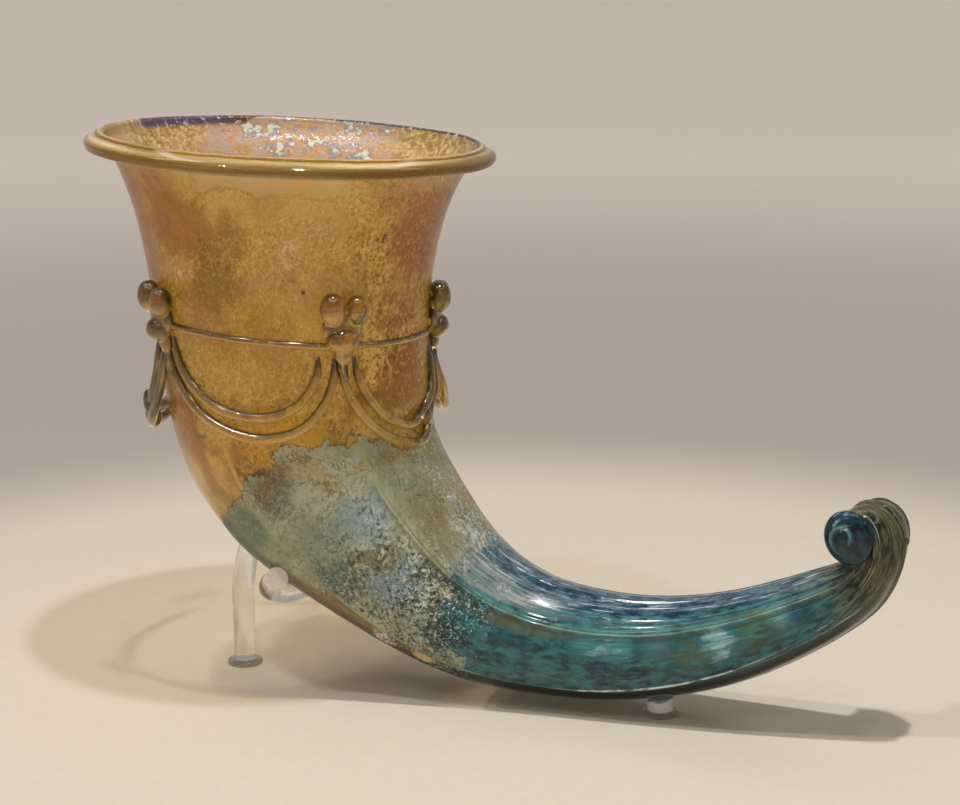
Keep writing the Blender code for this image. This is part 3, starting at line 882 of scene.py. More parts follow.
def peg_mesh():
    """The tail's peg: its top slopes to the front and is hollowed to fit under the horn."""
    bottom = FOOT_THICK + GAP
    turns = circle(PEG_SIDES)
    x, y = PEG_X + PEG_HALF * np.cos(turns), PEG_Y + PEG_HALF * np.sin(turns)
    top = PEG_FRONT_TOP + (y - PEG_Y + PEG_HALF) * math.tan(PEG_SLOPE)
    rings = [np.stack([x, y, bottom + (top - bottom) * share], -1) for share in (0, 0.5, 1)]
    peg = new_object("peg", loft("peg", rings))
    cutter_rings = []
    for along in PEG_CUT:
        radius = half_sizes(along)[0] + rib_height(RIBS[-1], along) + GAP
        cutter_rings.append(turns_to_ring(along, circle(PEG_CUT_SIDES), radius, radius)[0])
    return boolean(peg, "DIFFERENCE", [new_object("cut", loft("cut", cutter_rings))])


def smooth_shaded(mesh, sharp):
    mesh.shade_smooth()
    mesh.set_sharp_from_angle(angle=math.radians(sharp))


# The outer skin's materials change at these distances along the horn. The lip's faces that look
# into the mouth are above the first distance and stand out by less than the second.
AMBER_UNTIL, WEATHERED_UNTIL = 84.0, 206.0
LIP_ALONG, LIP_RISE = 3.0, 0.75
# Edges of the vessel that turn by more than this are shown sharp.
HORN_SHARP = 62


def set_zones(mesh):
    """Give each face of the vessel the material of its zone; the trails and knobs keep theirs."""
    values = {}
    for name in ("along", "inner", "rise"):
        values[name] = np.empty(len(mesh.vertices), np.float32)
        mesh.attributes[name].data.foreach_get("value", values[name])
    slots = [material.name for material in mesh.materials]
    kept = (slots.index("trail_glass"), slots.index("knob_glass"))
    weathered, teal = slots.index("weathered_glass"), slots.index("teal_glass")
    hollow = slots.index("hollow_glass")
    for face in mesh.polygons:
        if face.material_index in kept:
            continue
        corners = list(face.vertices)
        place = float(values["along"][corners].mean()) * DECIMETRE
        lip = place < LIP_ALONG and float(values["rise"][corners].mean()) < LIP_RISE
        if lip or values["inner"][corners].min() > 0.5:
            face.material_index = hollow
        elif place > WEATHERED_UNTIL:
            face.material_index = teal
        elif place > AMBER_UNTIL:
            face.material_index = weathered


def make_horn():
    body = amber_material()
    # Each look's painted-shade colour, its own colour, the heights over which one turns to the
    # other, and its coat.
    trail = trail_material("trail_glass", (40, 28, 2), (206, 170, 54), (0.5, 2.8),
                           (1.0, 0.14, 1.6))
    knobs = trail_material("knob_glass", (14, 9, 0), (176, 130, 16), (1.8, 6.4),
                           (0.9, 0.09, 1.6))
    item = new_object("horn_body", loft("horn_body", horn_rings()), [body])
    trails = (belt_trail(), *swag_trails(), *trail_drops())
    tools = [new_object("tool", mesh, [trail]) for mesh in trails]
    tools += [new_object("tool", knob(around, rise), [knobs]) for around, rise in KNOBS]
    tools += [new_object("tool", mesh, [body]) for mesh in (scroll_core(), *scroll_drops())]
    mesh = boolean(item, "UNION", tools)
    mesh.name = "glass_horn"
    smooth_shaded(mesh, HORN_SHARP)
    add_marks(mesh)
    for material in (weathered_material(), teal_material(), hollow_material()):
        mesh.materials.append(material)
    set_zones(mesh)
    return new_object("glass_horn", mesh)


def tone(red, green, blue):
    """A colour given as the eye sees it, 0 to 255, as the light values a shader takes."""
    values = []
    for value in (red, green, blue):
        share = value / 255
        values.append(share / 12.92 if share <= 0.04045 else ((share + 0.055) / 1.055) ** 2.4)
    return (*values, 1.0)


GLASS_INDEX = 1.5
NO_COAT = (0, 0.1, GLASS_INDEX)


class Nodes:
    """A node tree. Each short call adds a node and gives its output back. A colour is given as
    the eye sees it: three numbers, 0 to 255."""

    def __init__(self, owner):
        owner.use_nodes = True
        self.tree = owner.node_tree

    def put(self, socket, value):
        if isinstance(value, bpy.types.NodeSocket):
            self.tree.links.new(value, socket)
        else:
            socket.default_value = tone(*value) if socket.type == "RGBA" else value

    def add(self, kind, inputs=(), **settings):
        node = self.tree.nodes.new("ShaderNode" + kind)
        for key, value in settings.items():
            setattr(node, key, value)
        for key, value in dict(inputs).items():
            self.put(node.inputs[key], value)
        return node

    def split(self, vector):
        return self.add("SeparateXYZ", {0: vector}).outputs

    def colours(self, value, stops):
        """A colour read off a row of (value, colour) stops."""
        node = self.add("ValToRGB", {"Fac": value})
        elements = node.color_ramp.elements
        while len(elements) < len(stops):
            elements.new(1.0)
        for element, (place, colour) in zip(elements, stops):
            element.position = place
            element.color = tone(*colour)
        return node.outputs["Color"]


class Shader(Nodes):
    """One material's nodes, most of them values between 0 and 1 laid over its surface."""

    def __init__(self, name):
        self.material = bpy.data.materials.new(name)
        super().__init__(self.material)
        self.surface = self.tree.nodes["Principled BSDF"]
        self.place = self.add("TexCoord").outputs["Object"]

    def mark(self, name):
        return self.add("Attribute", attribute_name=name).outputs["Fac"]

    def flow(self):
        """The smooth place on the horn: along it in centimetres, and 3 cos and 3 sin round it."""
        return self.add("Attribute", attribute_name="flow").outputs["Vector"]

    def facing_up(self):
        """How far the surface faces up: 1 for up, 0 for sideways, -1 for down."""
        return self.split(self.add("TexCoord").outputs["Normal"])[2]

    def noise(self, scale, detail=3.0, rough=0.5, at=None, bend=0.0):
        """Cloudy values about 0.5. The scale is in swellings to a metre."""
        at = self.place if at is None else at
        inputs = {"Vector": at, "Scale": scale, "Detail": detail, "Roughness": rough}
        return self.add("TexNoise", {**inputs, "Distortion": bend}).outputs["Fac"]

    def stretched(self, vector, scale):
        return self.add("VectorMath", {0: vector, 1: scale}, operation="MULTIPLY").outputs[0]

    def math(self, operation, value, *others):
        for other in others:
            value = self.add("Math", {0: value, 1: other}, operation=operation).outputs[0]
        return value

    def times(self, *values):
        return self.math("MULTIPLY", *values)

    def plus(self, *values):
        return self.math("ADD", *values)

    def sway(self, value, by, amount):
        """A value moved up and down by a noise."""
        return self.plus(value, self.times(self.plus(by, -0.5), amount))

    def ramp(self, value, low, high, start=0.0, end=1.0):
        """A smooth change from start, where value is low, to end, where it is high."""
        inputs = {"Value": value, "From Min": low, "From Max": high}
        inputs.update({"To Min": start, "To Max": end})
        node = self.add("MapRange", inputs, interpolation_type="SMOOTHSTEP")
        return node.outputs["Result"]

    def band(self, value, low, high, edge):
        """1 between two values and 0 outside them."""
        rise = self.ramp(value, low - edge, low + edge)
        return self.times(rise, self.ramp(value, high - edge, high + edge, 1.0, 0.0))

    def blend(self, share, first, second, strength=None):
        """From the first colour to the second, by a share that a strength can weaken."""
        if strength is not None:
            share = self.times(share, strength)
        node = self.add("Mix", data_type="RGBA")
        for index, value in ((0, share), (6, first), (7, second)):
            self.put(node.inputs[index], value)
        return node.outputs[2]

    def level(self, share, first, second):
        return self.add("Mix", {0: share, 2: first, 3: second}).outputs[0]

    def gap(self, centre):
        """How many metres the surface is from a place given in millimetres."""
        where = tuple(value * MM for value in centre)
        node = self.add("VectorMath", {0: self.place, 1: where}, operation="DISTANCE")
        return node.outputs["Value"]

    def spot(self, centre, radius, edge, rough_by=None, amount=0.0):
        """1 within a radius of a place in millimetres, 0 outside, with a soft or ragged edge."""
        gap = self.gap(centre)
        if rough_by is not None:
            gap = self.sway(gap, rough_by, amount * MM)
        return self.ramp(gap, (radius - edge) * MM, (radius + edge) * MM, 1.0, 0.0)

    def spots(self, colour, table, edge, rough_by, amount, within=None):
        """A colour with spots laid on it: the middle, radius, colour and strength of each."""
        for centre, radius, over, strength in table:
            share = self.spot(centre, radius, edge, rough_by, amount)
            if within is not None:
                share = self.times(share, within)
            colour = self.blend(share, colour, over, strength)
        return colour

    def dress(self, inputs):
        for key, value in inputs.items():
            self.put(self.surface.inputs[key], value)
        return self.material

    def finish(self, colour, roughness, clear, height, depth, lamps, coat=NO_COAT, shine=0.5):
        """Set a look on the surface. Rays from lamps pass, tinted. The coat is its weight,
        roughness and index, and the shine is how strongly the glass below it reflects."""
        bump = self.add("Bump", {"Height": height, "Strength": 1.0, "Distance": depth * MM})
        self.dress({
            "Base Color": colour, "Roughness": roughness, "Transmission Weight": clear,
            "Normal": bump.outputs["Normal"], "IOR": GLASS_INDEX, "Coat Weight": coat[0],
            "Coat Roughness": coat[1], "Coat IOR": coat[2], "Specular IOR Level": shine,
        })
        passing = self.add("BsdfTransparent", {"Color": lamps})
        path = self.add("LightPath")
        mix = self.add("MixShader", {0: path.outputs["Is Shadow Ray"]})
        self.tree.links.new(self.surface.outputs[0], mix.inputs[1])
        self.tree.links.new(passing.outputs[0], mix.inputs[2])
        self.tree.links.new(mix.outputs[0], self.tree.nodes["Material Output"].inputs["Surface"])
        return self.material


# How much of a lamp's light each surface of the glass lets on towards the floor.
AMBER_PASS = (224, 218, 208)
CRUST_PASS = (150, 146, 134)
TEAL_PASS = (140, 144, 138)


# Where the amber glass is paler, more golden or darker: middle, radius, colour and strength.
HONEY = (
    ((-94, -52, 170), 13, (184, 120, 16), 0.8), ((-72, -55, 168), 11, (176, 146, 48), 0.85),
    ((-51, -50, 171), 15, (228, 200, 122), 0.8), ((-22, -12, 164), 15, (166, 104, 16), 0.85),
    ((-66, -49, 137), 9, (212, 168, 40), 0.85), ((-85, -48, 137), 8, (204, 166, 88), 0.8),
    ((-58, -46, 121), 13, (208, 172, 90), 0.8), ((-98, -38, 94), 13, (178, 110, 12), 0.85),
    ((-76, -45, 84), 10, (178, 136, 52), 0.7), ((-28, -14, 118), 12, (142, 92, 10), 0.85),
    ((-60, -46, 101), 9, (206, 160, 20), 0.9), ((-60, -57, 182), 9, (206, 172, 70), 0.7),
    ((-28, -13, 138), 11, (136, 86, 8), 0.85), ((-78, -50, 153), 7, (158, 132, 30), 0.8),
    ((-58, -49, 153), 10, (222, 186, 108), 0.7), ((-42, -41, 147), 8, (214, 180, 104), 0.7),
    ((-72, -48, 127), 8, (214, 170, 84), 0.7),
)


def amber_colour(s, along, foil):
    """Honey glass in soft clouds of gold, tan and orange, with a thin grained skin that is
    crinkled on the right. Painted shade deepens the sides and the crinkles' dips, and painted
    highlights lie on the crinkles' ridges and along the rib's crest."""
    x = s.split(s.place)[0]
    cloud = s.noise(44, 6, 0.68, bend=0.6)
    colour = s.blend(s.ramp(cloud, 0.36, 0.60), (184, 144, 22), (238, 206, 104))
    colour = s.spots(colour, HONEY, 4.5, cloud, 60.0)
    # Painted shade: deeper orange towards the left and right sides, for the longer way that light
    # takes through the glass there.
    sides = s.plus(s.ramp(x, -0.116, -0.098, 0.9, 0.0), s.ramp(x, -0.034, -0.018, 0.0, 0.8))
    colour = s.blend(s.sway(sides, cloud, 0.8), colour, (178, 108, 4))
    wide = s.noise(24, 2, 0.5, bend=0.8)
    crinkled = s.plus(s.ramp(s.sway(x, cloud, 0.05), -0.044, -0.028, 0.06, 0.50),
                      s.ramp(wide, 0.50, 0.60, 0.02, 0.40))
    # The crinkles' colour is partly their own grain and partly painted: painted shade in the dips
    # of the grain and painted highlights on its ridges, where its bumps are.
    dark = s.times(crinkled, 1.1, s.ramp(foil, 0.50, 0.36))
    colour = s.blend(dark, colour, (104, 70, 10))
    bright = s.times(s.ramp(foil, 0.53, 0.66), crinkled)
    colour = s.blend(bright, colour, (246, 216, 144))
    stain = s.times(s.ramp(cloud, 0.42, 0.35), s.ramp(foil, 0.58, 0.44))
    colour = s.blend(stain, colour, (96, 76, 34), 0.7)
    # Painted highlight along the rib's crest.
    line = s.times(s.mark("crest"), s.ramp(along, 0.92, 1.05))
    return s.blend(line, colour, (244, 216, 140), 0.7), cloud


def foil_noise(s):
    """The fine grain of the weathered gold skin."""
    return s.noise(700, 4, 0.7, at=s.stretched(s.place, (1.0, 1.0, 0.8)), bend=0.4)


# The lip's painted highlights and painted shade, read by how far each stands out from the mouth's
# edge: bright lines on the tops of the crest and the roll, a dark line in the groove between
# them, and a darker band further out.
LIP_HIGHLIGHTS_AND_SHADE = (
    (0.00, (222, 188, 122)), (0.12, (255, 246, 212)), (0.20, (208, 168, 94)),
    (0.29, (86, 56, 18)), (0.36, (214, 178, 106)), (0.50, (255, 242, 204)),
    (0.62, (214, 182, 104)), (0.78, (120, 96, 34)),
)


# Where the lamps glint on the amber part's rough skin: middle, radius, colour and strength.
GLINT = (255, 240, 200)
GLINTS = (
    ((-53.4, -48.8, 164), 3, GLINT, 0.85), ((-53.6, -48.6, 159), 2.2, GLINT, 0.85),
    ((-94.6, -47.5, 154.5), 2.6, GLINT, 0.85), ((-89, -48.5, 153.5), 2, GLINT, 0.85),
)


def amber_material():
    """The vessel's upper part: pale and clean below its lip in places, the lip lined with painted
    highlights and painted shade.
    """
    s = Shader("amber_glass")
    along = s.mark("along")
    x, _, z = s.split(s.place)
    foil = foil_noise(s)
    colour, cloud = amber_colour(s, along, foil)
    clean = s.ramp(s.sway(along, cloud, 0.14), 0.095, 0.110, 1.0, 0.0)
    clean = s.times(clean, s.ramp(x, -0.083, -0.079, 0.15, 1.0))
    clean = s.times(clean, s.ramp(x, -0.038, -0.030, 1.0, 0.3))
    colour = s.blend(clean, colour, (230, 206, 132), 0.85)
    lip = s.ramp(along, 0.012, 0.030, 1.0, 0.0)
    lines = s.colours(s.times(s.sway(s.mark("rise"), cloud, 1.2), 0.125), LIP_HIGHLIGHTS_AND_SHADE)
    # Painted shade: the roll's underside is darkened.
    lines = s.blend(s.ramp(z, 0.1924, 0.1912, 0.0, 0.85), lines, (92, 68, 20))
    colour = s.blend(lip, colour, lines, 0.92)
    dot = s.spot((-50.2, -44.2, 149.0), 0.75, 0.3)
    colour = s.blend(dot, colour, (52, 30, 12))
    caustic = s.spot((-45.0, -55.0, 187.5), 2.4, 1.4, foil, 8.0)
    colour = s.blend(caustic, colour, (255, 186, 50), 0.8)
    colour = s.spots(colour, GLINTS, 1.4, foil, 9.0, s.ramp(foil, 0.44, 0.56))
    plain = s.plus(clean, lip)
    rough = s.level(plain, s.ramp(foil, 0.40, 0.62, 0.06, 0.20), 0.04)
    sides = s.plus(s.ramp(x, -0.116, -0.098, 0.45, 0.0), s.ramp(x, -0.044, -0.024, 0.0, 0.45))
    clear = s.level(plain, s.ramp(foil, 0.40, 0.62, 0.80, 0.55), 0.72)
    clear = s.times(clear, s.plus(1.0, s.times(sides, -1.0)))
    height = s.level(plain, s.plus(s.times(foil, 0.8), s.times(cloud, 3.0)), s.times(cloud, 0.3))
    return s.finish(colour, rough, clear, height, 0.30, AMBER_PASS, (0.2, 0.10, 1.5), 0.25)


# Where patches of the crust have another colour: middle, radius, colour and strength.
PATCHES = (
    ((-34, -33, 68), 9.5, (146, 166, 166), 0.8), ((-47, -36, 60), 9, (144, 158, 140), 0.7),
    ((-24, -29.8, 47), 9.5, (134, 154, 168), 0.8), ((-62, -43, 78), 8, (112, 118, 90), 0.7),
    ((-54, -42.5, 93), 8, (176, 162, 104), 0.75), ((-17, -17, 72), 9.5, (122, 132, 106), 0.8),
    ((-43, -31.5, 46), 8.5, (78, 104, 100), 0.75), ((-36, -34, 58), 2.6, (108, 86, 42), 0.9),
    ((-8, -26, 30), 9, (56, 78, 78), 0.8), ((-27, -32, 57), 5.5, (122, 116, 72), 0.8),
    ((-80, -37, 62), 11, (106, 124, 104), 0.8), ((6, -6, 52), 9, (176, 170, 146), 0.7),
    ((-14, -25, 50), 6, (108, 112, 76), 0.8), ((-64, -42, 86), 5.5, (124, 96, 48), 0.8),
    ((-68, -41, 77), 4, (134, 100, 46), 0.75),
)


def crust_colour(s, along, around, cloud, curl, grit):
    """Weathered skin in patches of sage, olive, blue grey and dark green, with painted shade on
    its underside below the rib.
    """
    colour = s.blend(s.ramp(cloud, 0.38, 0.56), (150, 156, 122), (188, 190, 162))
    colour = s.blend(s.ramp(cloud, 0.56, 0.66), colour, (178, 164, 106))
    colour = s.spots(colour, PATCHES, 3.2, curl, 26.0)
    rough = s.ramp(s.sway(along, cloud, 1.2), 1.25, 1.70, 0.34, 1.0)
    upper = s.ramp(around, 1.7, 2.3)
    dents = s.times(rough, s.ramp(upper, 0.0, 1.0, 1.0, 0.35))
    colour = s.blend(s.times(s.ramp(grit, 0.49, 0.38), dents), colour, (60, 68, 54))
    pale = s.blend(s.ramp(curl, 0.45, 0.55), (222, 216, 192), (188, 206, 214))
    colour = s.blend(s.times(rough, 0.85, s.ramp(grit, 0.54, 0.64)), colour, pale)
    colour = s.blend(upper, colour, (104, 112, 80), 0.5)
    tan = s.times(upper, s.band(s.sway(along, curl, 0.9), 1.50, 1.74, 0.10))
    colour = s.blend(tan, colour, (150, 128, 86), 0.45)
    chill = s.times(upper, s.ramp(s.sway(along, curl, 1.0), 1.66, 1.88))
    frosty = s.blend(s.ramp(grit, 0.44, 0.56), (120, 124, 116), (206, 204, 192))
    colour = s.blend(chill, colour, frosty, 0.8)
    begins, ends = s.ramp(along, 1.3, 1.6, -1.75, -1.50), s.ramp(along, 1.3, 1.6, -2.10, -1.66)
    under = s.ramp(around, begins, ends)
    shade = s.blend(s.ramp(around, -1.75, -2.30), (150, 122, 74), (70, 58, 36))
    shade = s.blend(s.ramp(around, -1.70, -1.58), shade, (62, 48, 26))
    shade = s.blend(s.ramp(along, 1.28, 1.45), (66, 78, 62), shade)
    return s.blend(under, colour, shade, 0.92)


def weathered_material():
    """The belly: amber, covered by crust below a ragged line, and the teal that comes next."""
    s = Shader("weathered_glass")
    along, crust, rise, flow = s.mark("along"), s.mark("crust"), s.mark("rise"), s.flow()
    around = s.split(flow)[2]
    foil = foil_noise(s)
    curl = s.noise(80, 5, 0.72, bend=0.4)
    colour, cloud = amber_colour(s, along, foil)
    spot = s.spot((-66.7, -44.9, 85.0), 2.4, 1.2, foil, 9.0)
    colour = s.blend(spot, colour, (84, 34, 8))
    teal = teal_colour(s, along, rise, flow)
    colour = s.blend(s.ramp(along, 1.60, 1.72), colour, teal[0])
    edge = s.sway(s.sway(crust, curl, 2.2), foil, 0.9)
    soft = s.times(s.ramp(around, 1.7, 2.2), s.ramp(along, 1.40, 1.60, 0.0, 0.30))
    sides = s.plus(s.ramp(around, 0.5, 1.6, 0.0, 0.24), s.ramp(around, -0.5, -1.5, 0.0, 0.20))
    soft = s.plus(soft, sides)
    cover = s.ramp(edge, s.plus(0.42, s.times(soft, -1.0)), s.plus(0.52, soft))
    crusted = crust_colour(s, along, around, cloud, curl, foil)
    colour = s.blend(cover, colour, crusted)
    rim = s.times(s.band(edge, 0.32, 0.46, 0.05), s.ramp(along, 1.55, 1.40))
    colour = s.blend(rim, colour, (64, 48, 18), 0.8)
    crack = s.times(s.band(curl, 0.492, 0.508, 0.006), s.ramp(cloud, 0.44, 0.50))
    colour = s.blend(s.times(crack, cover), colour, (50, 48, 32), 0.7)
    late = s.times(s.ramp(s.sway(along, curl, 0.9), 1.58, 1.78), s.ramp(around, 1.9, 1.5))
    late = s.times(late, s.ramp(s.sway(along, curl, 0.6), 2.05, 1.93))
    inside = s.band(s.sway(along, curl, 0.5), 1.36, 1.88, 0.10)
    inside = s.times(inside, s.ramp(around, 2.76, 2.90))
    fleck = s.noise(680, 3, 0.72, bend=1.2)
    pale = s.times(s.ramp(fleck, 0.56, 0.60), s.plus(late, s.times(inside, 0.9)))
    dark = s.times(s.ramp(fleck, 0.44, 0.47, 1.0, 0.0), late)
    colour = s.blend(dark, colour, (22, 34, 32), 0.75)
    chips = s.blend(s.ramp(curl, 0.46, 0.54), (240, 236, 210), (196, 224, 230))
    chips = s.blend(s.ramp(along, 1.82, 1.96, 0.0, 0.8), chips, (170, 222, 230))
    colour = s.blend(pale, colour, chips)
    # Painted highlight along the rib's crest where the crust covers it.
    crest = s.times(s.mark("crest"), cover, s.ramp(around, -2.3, -1.5))
    colour = s.blend(s.times(crest, s.ramp(along, 1.0, 1.5, 0.3, 0.6)), colour, (176, 176, 136))
    pink = s.spot((-31.8, -20.9, 23.3), 4.6, 0.6, foil, 7.0)
    grains = s.blend(s.ramp(fleck, 0.46, 0.54), (110, 96, 108), (250, 240, 238))
    colour = s.blend(pink, colour, grains)
    cream = s.spot((-17.8, -19.1, 17.3), 3.6, 0.6, foil, 6.0)
    colour = s.blend(cream, colour, (232, 204, 150))
    rough = s.level(cover, 0.16, s.ramp(foil, 0.4, 0.6, 0.34, 0.52))
    clear = s.level(cover, s.ramp(along, 1.5, 1.7, 0.6, 0.24), 0.05)
    flecks = s.times(s.plus(pale, s.times(dark, -1.0)), 0.6)
    height = s.plus(flecks, s.times(cover, 0.3), foil)
    lamps = s.blend(crust, AMBER_PASS, CRUST_PASS)
    return s.finish(colour, rough, clear, height, 0.28, lamps, (0.25, 0.12, 1.5), 0.3)


# Painted glows of light in the tail's glass, and darker, bluer or olive patches: middle, radius,
# colour and strength.
GLOWS = (
    ((46, -19, 22.0), 4.8, (0, 30, 58), 1), ((58.5, -18, 21.8), 4.8, (0, 30, 58), 1),
    ((42, -17.5, 28.6), 4.5, (84, 166, 168), 0.7), ((53, -17, 28), 4, (104, 184, 188), 0.7),
    ((47, -17.6, 27), 2.4, (176, 222, 226), 0.6), ((70, -17, 27), 7, (40, 88, 92), 0.7),
    ((87, -15, 34), 4.4, (178, 220, 224), 0.9), ((101, -14, 39.5), 6, (108, 128, 78), 0.75),
    ((78, -16, 28.5), 4.6, (96, 112, 66), 0.7), ((107, -13, 44.5), 3.4, (160, 204, 204), 0.7),
    ((115, -12, 46), 5.5, (0, 62, 84), 0.8), ((120, -10, 52), 5, (40, 112, 122), 0.6),
    ((2, -21, 38), 6.5, (66, 144, 146), 0.7), ((14, -21, 30), 7, (14, 66, 76), 0.7),
    ((66, -16, 30.5), 4, (130, 140, 156), 0.5), ((104, -13, 36), 5, (8, 52, 62), 0.7),
)


def teal_colour(s, along, rise, flow):
    """Deep teal: a painted reflection in slate above, painted glows of light in front, a frosted
    patch, scratches, painted highlights as white and green lines on the ribs, and painted shade
    below. Gives the colour, how pale it is there, and its two noises."""
    around = s.split(flow)[2]
    mottle = s.noise(2.6, 5, 0.60, at=s.stretched(flow, (0.7, 1.0, 1.0)), bend=0.2)
    streak = s.noise(2.6, 4, 0.68, at=s.stretched(flow, (0.14, 2.6, 2.6)), bend=0.3)
    colour = s.blend(s.ramp(mottle, 0.30, 0.68), (2, 40, 54), (64, 132, 136))
    broken = s.ramp(streak, 0.38, 0.56, 0.35, 1.0)
    colour = s.spots(colour, GLOWS, 3.2, mottle, 26.0, broken)
    # Painted reflection: the top side in slate blue, for the dark ceiling mirrored there.
    top = s.ramp(around, 2.30, 2.66)
    slate = s.blend(s.ramp(mottle, 0.38, 0.64), (30, 58, 84), (96, 124, 142))
    colour = s.blend(top, colour, slate, 0.85)
    frost = s.ramp(s.sway(along, mottle, 0.7), 2.34, 2.10)
    frost = s.times(frost, s.band(around, 1.95, 2.72, 0.12), s.ramp(streak, 0.36, 0.62, 0.1, 0.9))
    colour = s.blend(frost, colour, (166, 168, 162))
    warm = s.band(s.sway(around, mottle, 0.8), 1.05, 1.42, 0.3)
    warm = s.times(warm, s.ramp(s.sway(along, mottle, 0.6), 2.50, 2.16))
    colour = s.blend(warm, colour, (118, 108, 66), 0.75)
    # Painted shade: the underside darkened.
    below = s.ramp(around, -1.72, -2.10)
    colour = s.blend(below, colour, (2, 16, 22), 0.92)
    scratch = s.times(s.ramp(streak, 0.60, 0.64), s.plus(s.times(top, 0.85), 0.06))
    # Painted highlight: a white line along the lower rib.
    low = s.times(s.ramp(rise, 0.62, 0.84), s.ramp(around, -0.8, -1.2))
    low = s.times(low, s.ramp(mottle, 0.36, 0.56, 0.15, 1.0))
    # White for the scratches and for that painted highlight.
    white = s.plus(scratch, low)
    colour = s.blend(white, colour, (232, 240, 240))
    # Painted highlights in pale green along the ribs' crests.
    crest = s.times(s.mark("crest"), s.ramp(mottle, 0.35, 0.60, 0.25, 0.60))
    crest = s.times(crest, s.band(around, 0.8, 1.95, 0.2))
    colour = s.blend(crest, colour, (140, 178, 160))
    return colour, s.plus(frost, crest, white), mottle, streak


def teal_material():
    """The tail: deep teal with streaks and painted glows, then the olive of the rolled end, with
    painted shade below and a painted highlight on the end disc.
    """
    s = Shader("teal_glass")
    along, disc, rise, flow = s.mark("along"), s.mark("disc"), s.mark("rise"), s.flow()
    colour, pale, mottle, streak = teal_colour(s, along, rise, flow)
    olive = s.blend(s.ramp(mottle, 0.38, 0.60), (20, 32, 22), (104, 100, 62))
    olive = s.blend(s.ramp(streak, 0.61, 0.67, 0.0, 0.8), olive, (224, 218, 188))
    rolled = s.ramp(s.sway(along, streak, 0.5), 3.12, 3.46)
    colour = s.blend(rolled, colour, olive)
    # Painted shade: the underside darkened, fading out at the rolled end.
    below = s.times(s.ramp(s.split(flow)[2], -1.72, -2.10), s.ramp(along, 3.50, 3.30))
    colour = s.blend(below, colour, (10, 22, 18), 0.9)
    end = s.blend(s.ramp(mottle, 0.40, 0.62), (0, 20, 34), (16, 66, 82))
    # Painted highlight on the end disc's dome.
    shine = s.spot((123.0, -12.0, 83.0), 4.4, 2.4, mottle, 22.0)
    end = s.blend(shine, end, (170, 222, 230), 0.9)
    end = s.blend(s.mark("curl"), end, (126, 178, 184), 0.8)
    colour = s.blend(disc, colour, end)
    rough = s.plus(0.07, s.times(pale, 0.34))
    clear = s.ramp(pale, 0.0, 0.7, 0.24, 0.05)
    height = s.plus(s.times(streak, 0.5), s.times(mottle, 0.4))
    return s.finish(colour, rough, clear, height, 0.24, TEAL_PASS, (0.5, 0.10, 1.5), 0.2)


def hollow_material():
    """The inside of the wall: pale gold, with a dark line and rainbow patches near the lip."""
    s = Shader("hollow_glass")
    along, rise = s.mark("along"), s.mark("rise")
    x, y, _ = s.split(s.place)
    grit = s.noise(420, 3, 0.7, bend=0.6)
    shift = s.sway(s.noise(80, 3, 0.6, at=s.stretched(s.place, (1.0, 1.0, 1.7))), grit, 0.40)
    rainbow = s.colours(shift, (
        (0.30, (180, 116, 50)), (0.38, (204, 166, 100)), (0.45, (178, 160, 176)),
        (0.49, (206, 172, 112)), (0.54, (206, 138, 96)), (0.58, (104, 144, 184)),
        (0.62, (216, 214, 176)), (0.72, (244, 240, 232)),
    ))
    ends = s.plus(s.ramp(x, -0.130, -0.121, 1.0, 0.0), s.ramp(x, -0.064, -0.054))
    crinkle = s.blend(s.ramp(grit, 0.40, 0.66), (160, 120, 58), (228, 198, 134))
    rainbow = s.blend(ends, rainbow, crinkle)
    near = s.times(s.ramp(along, 0.46, 0.16), s.ramp(y, -0.022, 0.008))
    near = s.times(near, s.ramp(shift, 0.36, 0.44, 0.6, 0.95))
    deep = s.blend(s.ramp(along, 1.2, 1.9), (246, 224, 176), (180, 214, 214))
    colour = s.blend(near, deep, rainbow)
    wide = s.plus(s.ramp(x, -0.118, -0.110, -1.0, 0.15), s.ramp(x, -0.092, -0.082, 0.0, -0.6))
    line = s.times(s.ramp(s.math("SUBTRACT", rise, wide), -0.3, 0.1), s.ramp(rise, 0.75, 0.45))
    line = s.times(line, s.ramp(along, 0.02, 0.01), s.ramp(y, 0.0, 0.012))
    violet = s.blend(s.ramp(x, -0.124, -0.118), (88, 76, 102), (92, 58, 38))
    violet = s.blend(s.ramp(x, -0.110, -0.106), violet, (62, 56, 62))
    violet = s.blend(s.ramp(grit, 0.57, 0.63), violet, (206, 200, 204))
    colour = s.blend(line, colour, violet, 0.95)
    clear = s.level(s.plus(near, line), 0.84, 0.12)
    return s.finish(colour, 0.12, clear, grit, 0.35, AMBER_PASS)


# Where the trails are darker, at the rounded ends that hang at the sides: middle, radius, colour
# and strength.
DARK = (64, 56, 8)
DARK_ENDS = (
    ((-128, -12, 94), 12, DARK, 0.8), ((-118, -30, 106), 13, DARK, 0.8),
    ((-23, 2, 100), 5.5, DARK, 0.8),
)


